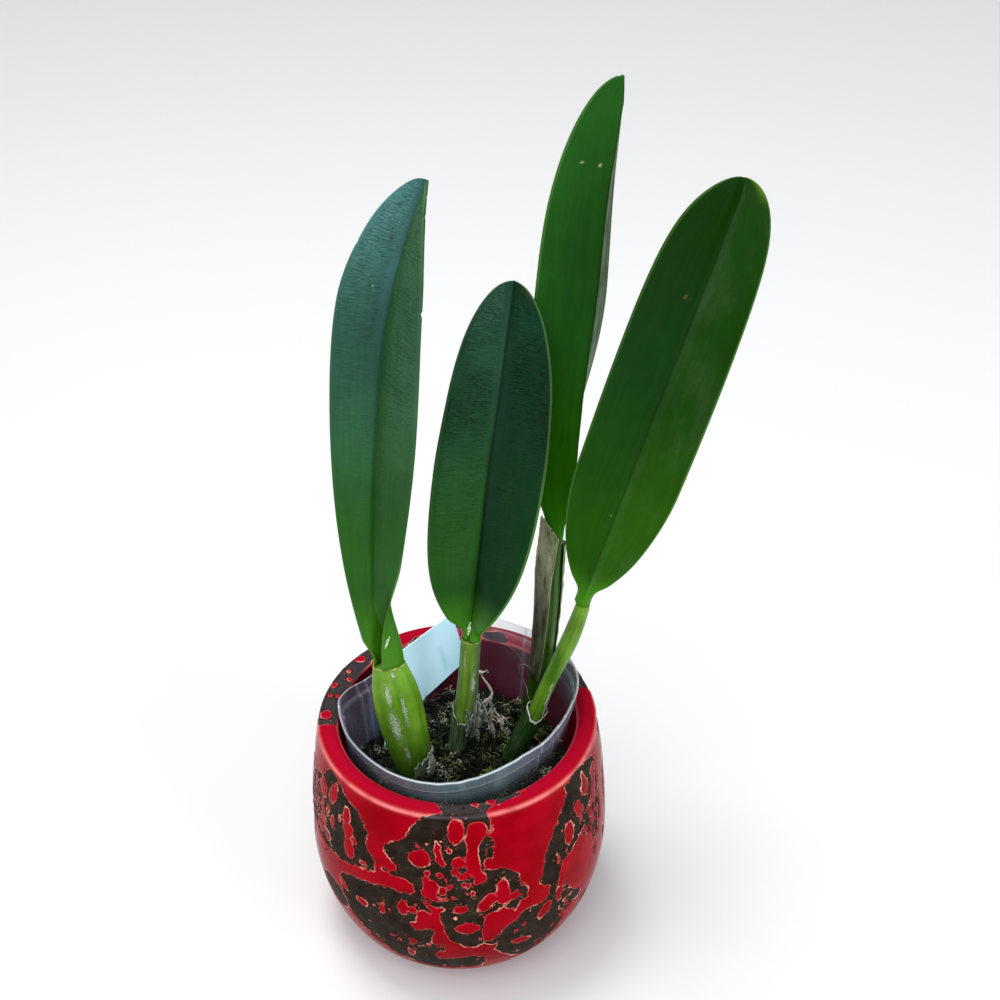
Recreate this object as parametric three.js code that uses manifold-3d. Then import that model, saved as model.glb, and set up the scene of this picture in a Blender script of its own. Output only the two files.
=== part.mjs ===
// A potted orchid, Rhyncholaelia digbyana: four one-leaved stems on a creeping rhizome, planted in a clear
// grow pot that stands inside a glazed ceramic pot, with a broad plant label pushed in beside them.
// Millimetres and degrees, +Z up, +X to the viewer's right, -Y towards the viewer. The origin is the centre
// of the ceramic pot's foot, on the surface that it stands on.
import * as THREE from "three";
import { mergeVertices } from "three/addons/utils/BufferGeometryUtils.js";
import Module from "manifold-3d";

const wasm = await Module();
wasm.setup();

// Driving dimensions
const SEAT = 0.3; // gap left between pieces that touch
const SOCKET = 0.35; // room left round a stem or root in the planting mix
const WELD = 1e-4; // corners nearer than this are one corner

const CERAMIC = {
  sides: 44,
  foot: 34.5,
  outside: [[37, 1], [46.7, 8], [54.2, 22], [57.9, 40], [57.7, 60], [55.5, 82], [53.1, 96.5]],
  rim: [[52.9, 98.8], [51.4, 100], [49, 99.9], [46.9, 99.3], [45.7, 98.1], [45.7, 96.4]],
  inside: [[48.6, 88], [51.2, 72], [52, 52], [50.2, 27], [45.5, 14.5], [39, 8.6]],
  well: 35,
  floor: 8,
};

const GROW_POT = {
  steps: 48,
  rim: [[-44.3, -5], [-38.5, -22], [-24, -37.5], [-4, -44], [17, -37.5], [36, -21.5], [45.5, 1],
    [42.5, 18], [27, 34], [8, 42.5], [-10, 34], [-33, 11.5], [-42.5, 2.5]],
  rimHeight: 109.5,
  rimSlopeX: 0.045,
  rimSlopeY: 0.05,
  base: 8.3,
  baseHalfWidth: 30,
  baseTurn: 48,
  wall: 0.8,
  lipStep: 0.8,
  // Each level is a share of the height, how far in it lies and 1 inside the rim band or 0 below it.
  outside: [[0, 2.4, 0], [0.004, 0.8, 0], [0.025, 0, 0], [0.35, 0, 0], [0.7, 0, 0], [0.92, 0, 0],
    [0.932, 0, 1], [1, 0, 1]],
  inside: [[1, 0, 1], [0.928, 0, 1], [0.916, 0, 0], [0.7, 0, 0], [0.35, 0, 0], [0.03, 0, 0]],
  well: [{ share: 0.008, inset: 1.4, lift: 0.48 }, { share: 0, inset: 3.2, lift: 0.8 }],
  drains: { around: 4, ring: 17, radius: 3, depth: 8, sides: 12 },
};

const MIX = {
  top: 76,
  steps: 36,
  rings: 7,
  heart: 0.4, // width of the innermost ring, as a share of the space between rings
  lumps: 1.1,
  // Levels up the side: a share of the mix's height, how far in from the pot and how far lifted
  side: [[0, 4, 1.4], [0.05, 0.6, 1], [0.5, 0, 0], [0.96, 0, 0]],
  stemHole: 1.65, // room round a stem, wide enough for its sheath
};
const STEM_MESH = { steps: 13, sides: 16, joints: 40 };

// The stems' centre lines, with half-widths at evenly spaced stations: wide across X and deep along Y.
const STEMS = {
  left: {
    axis: [[-17.2, -9, 73], [-18.4, -8.6, 88], [-21.4, -8.8, 104], [-22.6, -8.8, 119], [-24, -8, 131.1],
      [-25.2, -7.2, 141]],
    wide: [3.6, 7.4, 9, 8.7, 6.2, 5.4],
    deep: [3.2, 4.8, 5.5, 5.3, 4.4, 4],
    furrows: 7, furrow: 0.05, top: [-24, -8, 131.1],
  },
  centre: {
    axis: [[-1.2, 3.4, 73], [0.6, 4.6, 87], [3.2, 5.5, 101], [4.5, 6, 116], [5.5, 6, 131.5],
      [6.6, 6.2, 143]],
    wide: [2.4, 2.9, 4.1, 3.8, 3.8, 3.4],
    deep: [2.3, 2.8, 3.7, 3.6, 3.5, 3.2],
    furrows: 6, furrow: 0.05, top: [5.5, 6, 131.3],
  },
  right: {
    axis: [[18.6, -1.6, 73], [23.6, -1.2, 85], [29.8, -1.6, 100], [35.3, -2, 118], [42, -2, 138],
      [46, -2, 154.5], [48.3, -2.2, 166]],
    wide: [2.4, 3.2, 3.6, 3.4, 3.7, 2.9, 2.8],
    deep: [2.4, 3.1, 3.5, 3.3, 3.6, 2.9, 2.8],
    furrows: 5, furrow: 0.03, top: [45.9, -2, 154.2],
  },
  back: {
    axis: [[25, 16.5, 73], [29.4, 17.4, 91], [32.4, 18.8, 110], [34, 20.3, 134], [34.6, 21.6, 152],
      [35.5, 23, 165], [36.5, 24, 178]],
    wide: [3.2, 3.7, 3.9, 4.2, 4.5, 4.2, 4],
    deep: [3, 3.6, 3.8, 4, 4.2, 4, 3.8],
    furrows: 7, furrow: 0.05, top: [35.5, 23, 165],
  },
};

// Each leaf's midrib from base to tip. facing is the azimuth that its upper side faces and fold how far
// each half is raised from flat, both at the base, the middle and the tip. left and right are the halves'
// greatest widths, reached at the share widest of the length; lower and upper shape the outline there.
const LEAVES = {
  left: {
    midrib: [[-28.7, -8, 131.1], [-28, -5.5, 176.1], [-25.4, 1.4, 216.2], [-20.9, 8.4, 257.1],
      [-14.3, 11.8, 284], [-6.6, 14.9, 305.7]],
    facing: [-82, -104, -151], fold: [26, 34, 31], left: 16.6, right: 18, base: 2.2,
    widest: 0.65, lower: 2.17, upper: 2.12, neck: 0.16,
  },
  centre: {
    midrib: [[5, 6, 131.5], [8, 8.6, 162.1], [11.7, 9.3, 199.5], [15.7, 11, 229.1], [18.3, 11.7, 253],
      [20.6, 12.5, 272.9]],
    facing: [-122, -76, -101], fold: [46, 14, 6], left: 19.7, right: 19.7, base: 2.7,
    widest: 0.44, lower: 3.56, upper: 1.46, neck: 0.08,
  },
  right: {
    midrib: [[45.9, -2, 156.8], [50.8, -3.1, 177.1], [60.9, -4.8, 216.7], [70.1, -6.6, 253.4],
      [79.2, -8.6, 290.4], [85.8, -8, 315.6]],
    facing: [74, 81, 109], fold: [26, 11, 7], left: 17.9, right: 18, base: 2.3,
    widest: 0.36, lower: 1.08, upper: 5.45, neck: 0.1,
  },
  back: {
    midrib: [[38.4, 25, 165.3], [41.1, 25.1, 195.1], [42.9, 23.9, 225.8], [45.7, 21.8, 259],
      [47.6, 18.4, 298.2], [51.2, 12.9, 338.1]],
    facing: [143, 129, 138], fold: [69, 32, 36], left: 13.3, right: 20, base: 3.5,
    widest: 0.4, lower: 1.92, upper: 3.97, neck: 0.12,
  },
};
const LEAF = {
  steps: 22,
  across: [0, 0.12, 0.4, 0.72, 1],
  cup: 0.125, // radians that a half curls back down by its margin
  middle: 2,
  margin: 1.1,
  keel: 0.7,
  keelWidth: 1 / 6, // as a share of a half's width
  tipThick: 0.55, // share of the thickness left at the very tip
  tipTaper: 12,
  tipEnd: 0.9985,
  crowding: 1.25, // draws the sections together towards the tip
  neckWrap: 125, // degrees that the neck's shell reaches round to each side
  neckOver: 0.1,
  tail: 5, // length below the joint that is cut off again
};

const RHIZOME = {
  path: [[-25, -12, 70], [-17.2, -9, 70.4], [-1.2, 3.4, 70.2], [18.6, -1, 70.2], [25, 16.5, 70.2],
    [26, 23, 70.6]],
  radii: [2.4, 3.6, 3.3, 3.3, 3.4, 1.6],
  sides: 10,
  steps: 20,
};
const ROOTS = {
  starts: [[-22, -11, 69], [-16, -8, 69], [-7, -1, 69], [1, 4, 69], [10, 1, 69], [20, 0, 69], [24, 15, 69]],
  radius: 1.5,
  reach: 22, // how far from the pot's axis the tips end
  depth: [24, 44],
  spread: 0.8,
  wander: 0.7,
  sides: 6,
  steps: 7,
  taper: 0.3,
  seed: 11,
};

const SHEATHS = {
  back: { from: 0.28, top: 0.8, peak: 0.96, peakAt: 202, low: 0.84, arc: [-38, 298], slit: 34, gap: 0.6 },
  centre: { from: 0.06, top: 0.36, peak: 0.43, peakAt: 20, low: 0.2, arc: [-72, 236], slit: 8, gap: 0.45 },
  right: { from: 0.06, top: 0.36, peak: 0.37, peakAt: 45, low: 0.3, arc: [-86, 262], slit: 0, gap: 0.45 },
  left: { from: 0.06, top: 0.17, peak: 0.21, peakAt: -20, low: 0.14, arc: [-78, 34], slit: 0, gap: 0.5 },
};
const SHEATH = { thick: 0.7, around: 15, along: 5, ragged: 0.02, peakSpread: 42, frontSpread: 48 };

// The label's outline in its own plane: a broad strip whose lower corner runs out to a point in the mix.
const LABEL = {
  corner: [-15.1, 18.9, 88.5],
  along: [0.745, 0.667],
  lean: 0.14,
  thick: 0.7,
  outline: [[-18, -20], [1, 0.2], [24.5, 6.4], [19.8, 30.9], [-13.5, 25.2], [-18.5, 2], [-20.5, -17]],
  slot: [[-17.8, -20.8], [3.6, 0.6], [3.6, 4.6], [-19.5, 4.6], [-21.2, -17.4]],
  slotThick: 1.5,
};

const DRIED_ROOT = {
  branches: [
    { path: [[13.4, 12.4, 72], [12.8, 11.8, 84], [12.8, 13, 94], [13.1, 14, 99.4], [10.6, 15.6, 105.2]],
      radii: [0.7, 0.9, 1, 1.1, 0.9] },
    { path: [[12.9, 13.2, 96], [9.4, 12.2, 92], [7.2, 11.4, 86]], radii: [0.9, 0.7, 0.45] },
    { path: [[12.8, 11.9, 87], [16, 12.4, 84.5], [17.4, 12.2, 80.5]], radii: [0.8, 0.6, 0.45] },
  ],
  sides: 6,
  steps: 6,
  knob: { at: [10.2, 15.9, 105.8], radius: 1.7 },
};

// Plain helpers
const radians = THREE.MathUtils.degToRad;
const vector = (point) => new THREE.Vector3(point[0], point[1], point[2]);
const spline = (points) => new THREE.CatmullRomCurve3(points.map(vector), false, "catmullrom", 0.5);

// A value read along evenly spaced stations, with the same smooth curve as a path
function along(values, share) {
  return spline(values.map((value) => [value, 0, 0])).getPoint(THREE.MathUtils.clamp(share, 0, 1)).x;
}

// A value at the base, middle and tip, joined by straight lines
function threeWay(values, share) {
  const half = share < 0.5 ? 0 : 1;
  return THREE.MathUtils.lerp(values[half], values[half + 1], share * 2 - half);
}

// The turn in degrees from one azimuth to another, between -180 and 180
const turnFrom = (from, to) => ((((to - from) % 360) + 540) % 360) - 180;
const bump = (x) => Math.exp(-(x ** 2));

// The same random numbers on every run
function seeded(seed) {
  let state = seed;
  return () => {
    state = (state * 16807) % 2147483647;
    return state / 2147483647;
  };
}

// A closed mesh over a row of rings that all have the same even number of corners, counted anticlockwise
// when looked at against the row's direction. Strips between a ring's two halves close the ends.
function skin(rings) {
  const count = rings[0].length;
  const half = count / 2;
  const last = (rings.length - 1) * count;
  const faces = [];
  for (let row = 0; row < last; row += count) {
    for (let j = 0; j < count; j += 1) {
      const a = row + j;
      const b = row + ((j + 1) % count);
      if (j < half) faces.push(a, b, b + count, a, b + count, a + count);
      else faces.push(a, b, a + count, b, b + count, a + count);
    }
  }
  for (let j = 0; j + 1 < half; j += 1) {
    const [a, b, c, d] = [j, j + 1, count - 2 - j, count - 1 - j];
    faces.push(a, d, c, a, c, b);
    faces.push(last + a, last + b, last + c, last + a, last + c, last + d);
  }
  const geometry = new THREE.BufferGeometry().setFromPoints(rings.flat());
  geometry.setIndex(faces);
  return geometry;
}

// A solid from a closed geometry, with its corners merged and its empty faces left out
function solid(geometry) {
  const bare = new THREE.BufferGeometry();
  bare.setAttribute("position", geometry.getAttribute("position").clone());
  if (geometry.index) bare.setIndex(geometry.index.clone());
  const merged = mergeVertices(bare, WELD);
  const index = merged.index.array;
  const faces = [];
  for (let i = 0; i < index.length; i += 3) {
    const [a, b, c] = [index[i], index[i + 1], index[i + 2]];
    if (a !== b && b !== c && c !== a) faces.push(a, b, c);
  }
  const positions = new Float32Array(merged.getAttribute("position").array);
  return new wasm.Manifold(new wasm.Mesh({
    numProp: 3, vertProperties: positions, triVerts: new Uint32Array(faces),
  }));
}

// The biggest piece of a solid, without the scraps that a cut may leave
function biggest(shape) {
  const pieces = shape.decompose();
  pieces.sort((a, b) => b.volume() - a.volume());
  return pieces[0];
}

function geometryOf(shape) {
  const mesh = shape.getMesh();
  const geometry = new THREE.BufferGeometry();
  geometry.setAttribute("position", new THREE.BufferAttribute(new Float32Array(mesh.vertProperties), 3));
  geometry.setIndex([...mesh.triVerts]);
  return geometry;
}

const flip = (direction) => direction.clone().negate();

// The side of a solid that lies beyond a point, in the direction given
function beyond(shape, point, direction) {
  const away = direction.clone().normalize();
  return shape.trimByPlane([away.x, away.y, away.z], away.dot(point));
}

// A round rod along a path, its radius read from evenly spaced stations; extra makes it thicker and longer
function rod(path, radii, sides, steps, extra = 0) {
  const curve = spline(path);
  const frames = curve.computeFrenetFrames(steps, false);
  const rings = [];
  for (let i = 0; i <= steps; i += 1) {
    const share = i / steps;
    const centre = curve.getPoint(share);
    const reach = i === 0 ? -extra : i === steps ? extra : 0;
    centre.addScaledVector(curve.getTangent(share), reach);
    const radius = along(radii, share) + extra;
    rings.push(Array.from({ length: sides }, (_, j) => {
      const turn = (2 * Math.PI * j) / sides;
      return centre.clone()
        .addScaledVector(frames.normals[i], radius * Math.cos(turn))
        .addScaledVector(frames.binormals[i], radius * Math.sin(turn));
    }));
  }
  return skin(rings);
}

// The glazed ceramic pot: a barrel with a flat top band, turned about its own axis
function ceramicPot() {
  const smooth = (points, parts) => new THREE.SplineCurve(points.map((p) => new THREE.Vector2(p[0], p[1])))
    .getPoints(parts);
  const profile = [
    new THREE.Vector2(0, 0),
    new THREE.Vector2(CERAMIC.foot, 0),
    ...smooth(CERAMIC.outside, 9),
    ...CERAMIC.rim.map((p) => new THREE.Vector2(p[0], p[1])),
    ...smooth(CERAMIC.inside, 7),
    new THREE.Vector2(CERAMIC.well, CERAMIC.floor),
    new THREE.Vector2(0, CERAMIC.floor),
  ];
  const turned = new THREE.LatheGeometry(profile, CERAMIC.sides);
  turned.rotateX(Math.PI / 2);
  return geometryOf(solid(turned));
}

// The grow pot's outer face at one place round it and one share of its height, moved in by inset
const growRim = new THREE.CatmullRomCurve3(GROW_POT.rim.map((p) => new THREE.Vector3(p[0], p[1], 0)), true,
  "catmullrom", 0.5);

function growPotPlace(turn) {
  const edge = growRim.getPoint(turn);
  const azimuth = Math.atan2(edge.y, edge.x);
  const square = azimuth - radians(GROW_POT.baseTurn);
  const corner = Math.abs(Math.cos(square)) ** 4 + Math.abs(Math.sin(square)) ** 4;
  return {
    azimuth,
    rimRadius: Math.hypot(edge.x, edge.y),
    baseRadius: GROW_POT.baseHalfWidth / corner ** 0.25,
    rimHeight: GROW_POT.rimHeight + GROW_POT.rimSlopeX * edge.x + GROW_POT.rimSlopeY * edge.y,
  };
}

function growPotPoint(turn, share, inset, step) {
  const place = growPotPlace(turn);
  const taper = THREE.MathUtils.lerp(place.baseRadius, place.rimRadius - GROW_POT.lipStep, share);
  const radius = taper + step - inset;
  const height = THREE.MathUtils.lerp(GROW_POT.base, place.rimHeight, share);
  return new THREE.Vector3(radius * Math.cos(place.azimuth), radius * Math.sin(place.azimuth), height);
}

function growPotRing(share, inset, step, lift = 0) {
  return Array.from({ length: GROW_POT.steps }, (_, i) => {
    const point = growPotPoint(i / GROW_POT.steps, share, inset, step);
    point.z += lift;
    return point;
  });
}

function growPot() {
  const { wall, lipStep, drains } = GROW_POT;
  const rings = [
    ...GROW_POT.outside.map(([share, inset, band]) => growPotRing(share, inset, band * lipStep)),
    ...GROW_POT.inside.map(([share, inset, band]) => growPotRing(share, inset + wall, band * lipStep)),
    ...GROW_POT.well.map(({ share, inset, lift }) => growPotRing(share, inset + wall, 0, lift)),
  ];
  let cup = solid(skin(rings));
  for (let i = 0; i <= drains.around; i += 1) {
    const hole = new THREE.CylinderGeometry(drains.radius, drains.radius, drains.depth, drains.sides);
    const azimuth = radians(GROW_POT.baseTurn) + (2 * Math.PI * (i + 0.5)) / drains.around;
    const reach = i === drains.around ? 0 : drains.ring;
    hole.rotateX(Math.PI / 2);
    hole.translate(reach * Math.cos(azimuth), reach * Math.sin(azimuth), GROW_POT.base);
    cup = cup.subtract(solid(hole));
  }
  return geometryOf(cup);
}

function stemFrame(stem, share) {
  const curve = spline(stem.axis);
  const tangent = curve.getTangent(THREE.MathUtils.clamp(share, 0, 1));
  const wideWay = new THREE.Vector3(1, 0, 0);
  wideWay.addScaledVector(tangent, -wideWay.dot(tangent)).normalize();
  return { centre: curve.getPoint(share), tangent, wideWay, deepWay: tangent.clone().cross(wideWay) };
}

// A stem's surface at one share of its length and one azimuth, moved out by extra
function stemPoint(stem, share, azimuth, extra) {
  const frame = stemFrame(stem, share);
  const body = Math.sin(Math.PI * THREE.MathUtils.clamp(share, 0, 1));
  const groove = 1 - stem.furrow * body * (0.5 - 0.5 * Math.cos(stem.furrows * azimuth));
  const wide = along(stem.wide, share) * groove + extra;
  const deep = along(stem.deep, share) * groove + extra;
  return frame.centre
    .addScaledVector(frame.wideWay, wide * Math.cos(azimuth))
    .addScaledVector(frame.deepWay, deep * Math.sin(azimuth));
}

function stemBlank(stem, extra = 0) {
  const { steps, sides } = STEM_MESH;
  const rings = Array.from({ length: steps + 1 }, (_, i) => Array.from({ length: sides }, (__, j) => {
    const point = stemPoint(stem, i / steps, (2 * Math.PI * j) / sides, extra);
    if (i === 0) point.z -= extra;
    return point;
  }));
  return solid(skin(rings));
}

// The way a stem points at its top, where its leaf joins it
function jointDirection(stem) {
  const curve = spline(stem.axis);
  const top = vector(stem.top);
  const places = curve.getPoints(STEM_MESH.joints);
  const nearest = places.reduce((best, point, i) => (
    point.distanceTo(top) < places[best].distanceTo(top) ? i : best), 0);
  return curve.getTangent(nearest / STEM_MESH.joints);
}

function rhizomeBlank(extra = 0) {
  return solid(rod(RHIZOME.path, RHIZOME.radii, RHIZOME.sides, RHIZOME.steps, extra));
}

// A pseudobulb: the fleshy stem under a leaf, saddled on the rhizome
function pseudobulb(stem) {
  const direction = jointDirection(stem);
  const cutAt = vector(stem.top).addScaledVector(direction, -SEAT / 2);
  return geometryOf(biggest(beyond(stemBlank(stem), cutAt, flip(direction)).subtract(rhizomeBlank(SEAT))));
}

// Half a leaf's width at one share of its length
function leafWidth(leaf, share, greatest) {
  const { base, widest, lower, upper } = leaf;
  if (share < widest) return base + (greatest - base) * (1 - ((widest - share) / widest) ** lower);
  return greatest * Math.sqrt(Math.max(0, 1 - ((share - widest) / (1 - widest)) ** upper));
}

// Where a leaf's section lies: the midrib's point, the way its upper side faces and the way to its right half
function leafFrame(leaf, share) {
  const curve = spline(leaf.midrib);
  const tangent = curve.getTangent(share);
  const azimuth = radians(threeWay(leaf.facing, share));
  const face = new THREE.Vector3(Math.cos(azimuth), Math.sin(azimuth), 0);
  face.addScaledVector(tangent, -face.dot(tangent)).normalize();
  return { middle: curve.getPoint(share), tangent, face, side: tangent.clone().cross(face) };
}

// A leaf's upper and under point at one place across it, from -1 at the left margin to 1 at the right
function leafPair(leaf, share, across, frame) {
  const sign = across < 0 ? -1 : 1;
  const reach = Math.abs(across);
  const width = leafWidth(leaf, share, sign < 0 ? leaf.left : leaf.right) * reach;
  const rise = radians(threeWay(leaf.fold, share)) - LEAF.cup * reach;
  const upper = frame.middle.clone()
    .addScaledVector(frame.side, sign * width * Math.cos(rise))
    .addScaledVector(frame.face, width * Math.sin(rise));
  const down = frame.face.clone().multiplyScalar(-Math.cos(rise))
    .addScaledVector(frame.side, sign * Math.sin(rise) * Math.sqrt(reach))
    .normalize();
  const tip = Math.min(1, (1 - share) * LEAF.tipTaper + LEAF.tipThick);
  const keel = LEAF.keel * Math.max(0, 1 - reach / LEAF.keelWidth);
  const thick = (THREE.MathUtils.lerp(LEAF.middle, LEAF.margin, reach) + keel) * tip;
  return { upper, under: upper.clone().addScaledVector(down, thick) };
}

// One section of a leaf: the upper side from margin to margin, then the underside back again. Near the
// base the underside swells into the neck that sits on the stem.
function leafRing(leaf, stem, share, lift) {
  const frame = leafFrame(leaf, share);
  frame.middle.addScaledVector(frame.tangent, lift);
  const neck = THREE.MathUtils.smoothstep(leaf.neck - share, 0, leaf.neck);
  const wide = along(stem.wide, 1) + LEAF.neckOver;
  const deep = along(stem.deep, 1) + LEAF.neckOver;
  const centre = frame.middle.clone().add(vector(stem.top)).sub(vector(leaf.midrib[0]));
  centre.z = frame.middle.z;
  const places = [...LEAF.across.slice(1).reverse().map((v) => -v), ...LEAF.across];
  const pairs = places.map((across) => {
    const pair = leafPair(leaf, share, across, frame);
    const round = radians(across * LEAF.neckWrap);
    const shell = centre.clone()
      .addScaledVector(frame.side, wide * Math.sin(round))
      .addScaledVector(frame.face, -deep * Math.cos(round));
    return { upper: pair.upper, under: pair.under.lerp(shell, neck) };
  });
  return [...pairs.map((pair) => pair.upper), ...pairs.map((pair) => pair.under).reverse()];
}

function leafBlank(leaf, stem) {
  const rings = [leafRing(leaf, stem, 0, -LEAF.tail)];
  for (let i = 0; i <= LEAF.steps; i += 1) {
    const share = 1 - (1 - i / LEAF.steps) ** LEAF.crowding;
    rings.push(leafRing(leaf, stem, Math.min(LEAF.tipEnd, share), 0));
  }
  return solid(skin(rings));
}

function leafBlade(leaf, stem) {
  const direction = jointDirection(stem);
  const cutAt = vector(stem.top).addScaledVector(direction, SEAT / 2);
  return geometryOf(biggest(beyond(leafBlank(leaf, stem), cutAt, direction)));
}

// A papery sheath round a stem, between two shares of its length, open at the slit and torn along its edges
function sheath(stem, shape, seed) {
  const random = seeded(seed);
  const tears = Array.from({ length: SHEATH.around }, () => (random() - 0.5) * SHEATH.ragged);
  const rings = [];
  for (let i = 0; i <= SHEATH.along; i += 1) {
    const share = i / SHEATH.along;
    const inner = [];
    const outer = [];
    for (let j = 0; j < SHEATH.around; j += 1) {
      const open = (shape.slit * (1 - share)) / 2;
      const azimuth = THREE.MathUtils.lerp(shape.arc[0] + open, shape.arc[1] - open, j / (SHEATH.around - 1));
      const nearPeak = bump(turnFrom(shape.peakAt, azimuth) / SHEATH.peakSpread);
      const frontal = bump(turnFrom(-90, azimuth) / SHEATH.frontSpread);
      const plain = THREE.MathUtils.lerp(shape.top, shape.low, frontal);
      const top = THREE.MathUtils.lerp(plain, shape.peak, nearPeak) + tears[j];
      const height = THREE.MathUtils.lerp(shape.from, top, share);
      inner.push(stemPoint(stem, height, radians(azimuth), shape.gap));
      outer.push(stemPoint(stem, height, radians(azimuth), shape.gap + SHEATH.thick));
    }
    rings.push([...outer, ...inner.reverse()]);
  }
  return solid(skin(rings));
}

// The rhizome creeps under the surface from stem to stem, with its roots grown out of it into the mix
function rootPaths() {
  const random = seeded(ROOTS.seed);
  return ROOTS.starts.map((start) => {
    const bearing = Math.atan2(start[1], start[0]) + (random() - 0.5) * ROOTS.spread;
    const depth = THREE.MathUtils.lerp(ROOTS.depth[0], ROOTS.depth[1], random());
    const from = Math.hypot(start[0], start[1]);
    const path = [start];
    for (let i = 1; i <= 4; i += 1) {
      const away = THREE.MathUtils.lerp(from, ROOTS.reach, i / 4);
      const swing = bearing + (random() - 0.5) * ROOTS.wander;
      path.push([away * Math.cos(swing), away * Math.sin(swing), start[2] - (depth * i) / 4]);
    }
    return path;
  });
}

function rhizome(extra = 0) {
  const radii = [ROOTS.radius + ROOTS.taper, ROOTS.radius, ROOTS.radius - ROOTS.taper];
  return rootPaths().reduce(
    (whole, path) => whole.add(solid(rod(path, radii, ROOTS.sides, ROOTS.steps, extra))),
    rhizomeBlank(extra),
  );
}

// The label stands in a plane of its own, turned along the grow pot's straight side and leaning out
function labelPlane() {
  const level = new THREE.Vector3(LABEL.along[0], LABEL.along[1], 0).normalize();
  const outward = new THREE.Vector3(-level.y, level.x, 0);
  const rise = new THREE.Vector3(0, 0, 1).addScaledVector(outward, LABEL.lean).normalize();
  const across = level.clone().cross(rise);
  return new THREE.Matrix4().makeBasis(level, rise, across).setPosition(vector(LABEL.corner));
}

function labelBlank(outline, thick) {
  const shape = new THREE.Shape(outline.map((p) => new THREE.Vector2(p[0], p[1])));
  const flat = new THREE.ExtrudeGeometry(shape, { depth: thick, bevelEnabled: false });
  flat.translate(0, 0, -thick / 2);
  return flat.applyMatrix4(labelPlane());
}

function driedRoot(extra = 0) {
  const { branches, sides, steps, knob: end } = DRIED_ROOT;
  const [trunk, ...twigs] = branches.map((b) => solid(rod(b.path, b.radii, sides, steps, extra)));
  const knob = new THREE.SphereGeometry(end.radius + extra, sides, sides - 1);
  knob.translate(...end.at);
  return twigs.reduce((whole, twig) => whole.add(twig), trunk.add(solid(knob)));
}

// The planting mix fills the grow pot up to a lumpy mossy top, with a hole for each thing that stands in it
function mixHeight(x, y) {
  const lump = Math.sin(0.31 * x + 0.9) * Math.cos(0.27 * y - 0.4) + 0.6 * Math.sin(0.17 * x - 0.33 * y);
  return MIX.top + MIX.lumps * lump;
}

function plantingMix() {
  const inset = GROW_POT.wall + SOCKET;
  const edge = (place) => (MIX.top - GROW_POT.base) / (place.rimHeight - GROW_POT.base);
  const ring = (level, grow, lift) => Array.from({ length: MIX.steps }, (_, i) => {
    const turn = i / MIX.steps;
    const point = growPotPoint(turn, edge(growPotPlace(turn)) * level, inset + grow, 0);
    point.z += lift;
    return point;
  });
  const rings = MIX.side.map((level) => ring(...level));
  const rim = ring(1, 0, 0);
  for (let i = 0; i < MIX.rings; i += 1) {
    const shrink = 1 - i / (MIX.rings + MIX.heart);
    rings.push(rim.map((corner) => {
      const x = corner.x * shrink;
      const y = corner.y * shrink;
      return new THREE.Vector3(x, y, mixHeight(x, y));
    }));
  }
  const stems = Object.values(STEMS).map((stem) => stemBlank(stem, MIX.stemHole));
  const slot = solid(labelBlank(LABEL.slot, LABEL.slotThick));
  const holes = [...stems, rhizome(SOCKET), driedRoot(SOCKET), slot];
  return geometryOf(biggest(holes.reduce((block, hole) => block.subtract(hole), solid(skin(rings)))));
}

// Assembly
const finishes = {
  ceramic: { color: 0xa80818, roughness: 0.15, metalness: 0 },
  clear: { color: 0xb9b4c6, roughness: 0.2, metalness: 0, transparent: true, opacity: 0.4 },
  mix: { color: 0x2c2c18, roughness: 1, metalness: 0 },
  rhizome: { color: 0x6d6a3a, roughness: 0.7, metalness: 0 },
  bulb: { color: 0x5f8f1c, roughness: 0.4, metalness: 0 },
  leaf: { color: 0x2c5a1e, roughness: 0.5, metalness: 0 },
  sheath: { color: 0x8c8474, roughness: 0.8, metalness: 0 },
  label: { color: 0xd4e6ec, roughness: 0.4, metalness: 0 },
  driedRoot: { color: 0xb9a08c, roughness: 0.9, metalness: 0 },
};
const orchid = new THREE.Group();

function place(name, geometry, finish) {
  const mesh = new THREE.Mesh(geometry, new THREE.MeshStandardMaterial(finishes[finish]));
  mesh.name = name;
  orchid.add(mesh);
}

place("ceramic_pot", ceramicPot(), "ceramic");
place("grow_pot", growPot(), "clear");
place("planting_mix", plantingMix(), "mix");
place("rhizome", geometryOf(rhizome()), "rhizome");
Object.entries(STEMS).forEach(([name, stem], i) => {
  place(`pseudobulb_${name}`, pseudobulb(stem), "bulb");
  place(`leaf_${name}`, leafBlade(LEAVES[name], stem), "leaf");
  place(`sheath_${name}`, geometryOf(sheath(stem, SHEATHS[name], 5 + i)), "sheath");
});
place("plant_label", labelBlank(LABEL.outline, LABEL.thick), "label");
place("dried_root", geometryOf(driedRoot()), "driedRoot");

export default orchid;
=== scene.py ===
"""A potted orchid: four one-leaved stems in mossy bark, in a clear grow pot inside a red lava-glazed pot.

Forms are worked out in millimetres in the frame of the CAD part and made into meshes in metres.
"""
import math

import bmesh
import bpy
import numpy as np
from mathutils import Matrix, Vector


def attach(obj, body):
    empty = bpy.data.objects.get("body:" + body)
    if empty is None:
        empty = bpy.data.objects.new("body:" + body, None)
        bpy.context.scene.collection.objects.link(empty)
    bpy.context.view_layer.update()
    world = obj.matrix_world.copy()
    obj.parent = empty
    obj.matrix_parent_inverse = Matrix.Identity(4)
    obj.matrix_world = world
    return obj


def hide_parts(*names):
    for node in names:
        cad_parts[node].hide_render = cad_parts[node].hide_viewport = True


MM = 0.001
SEAT = 0.3  # gap that the CAD part leaves between pieces that touch

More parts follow.
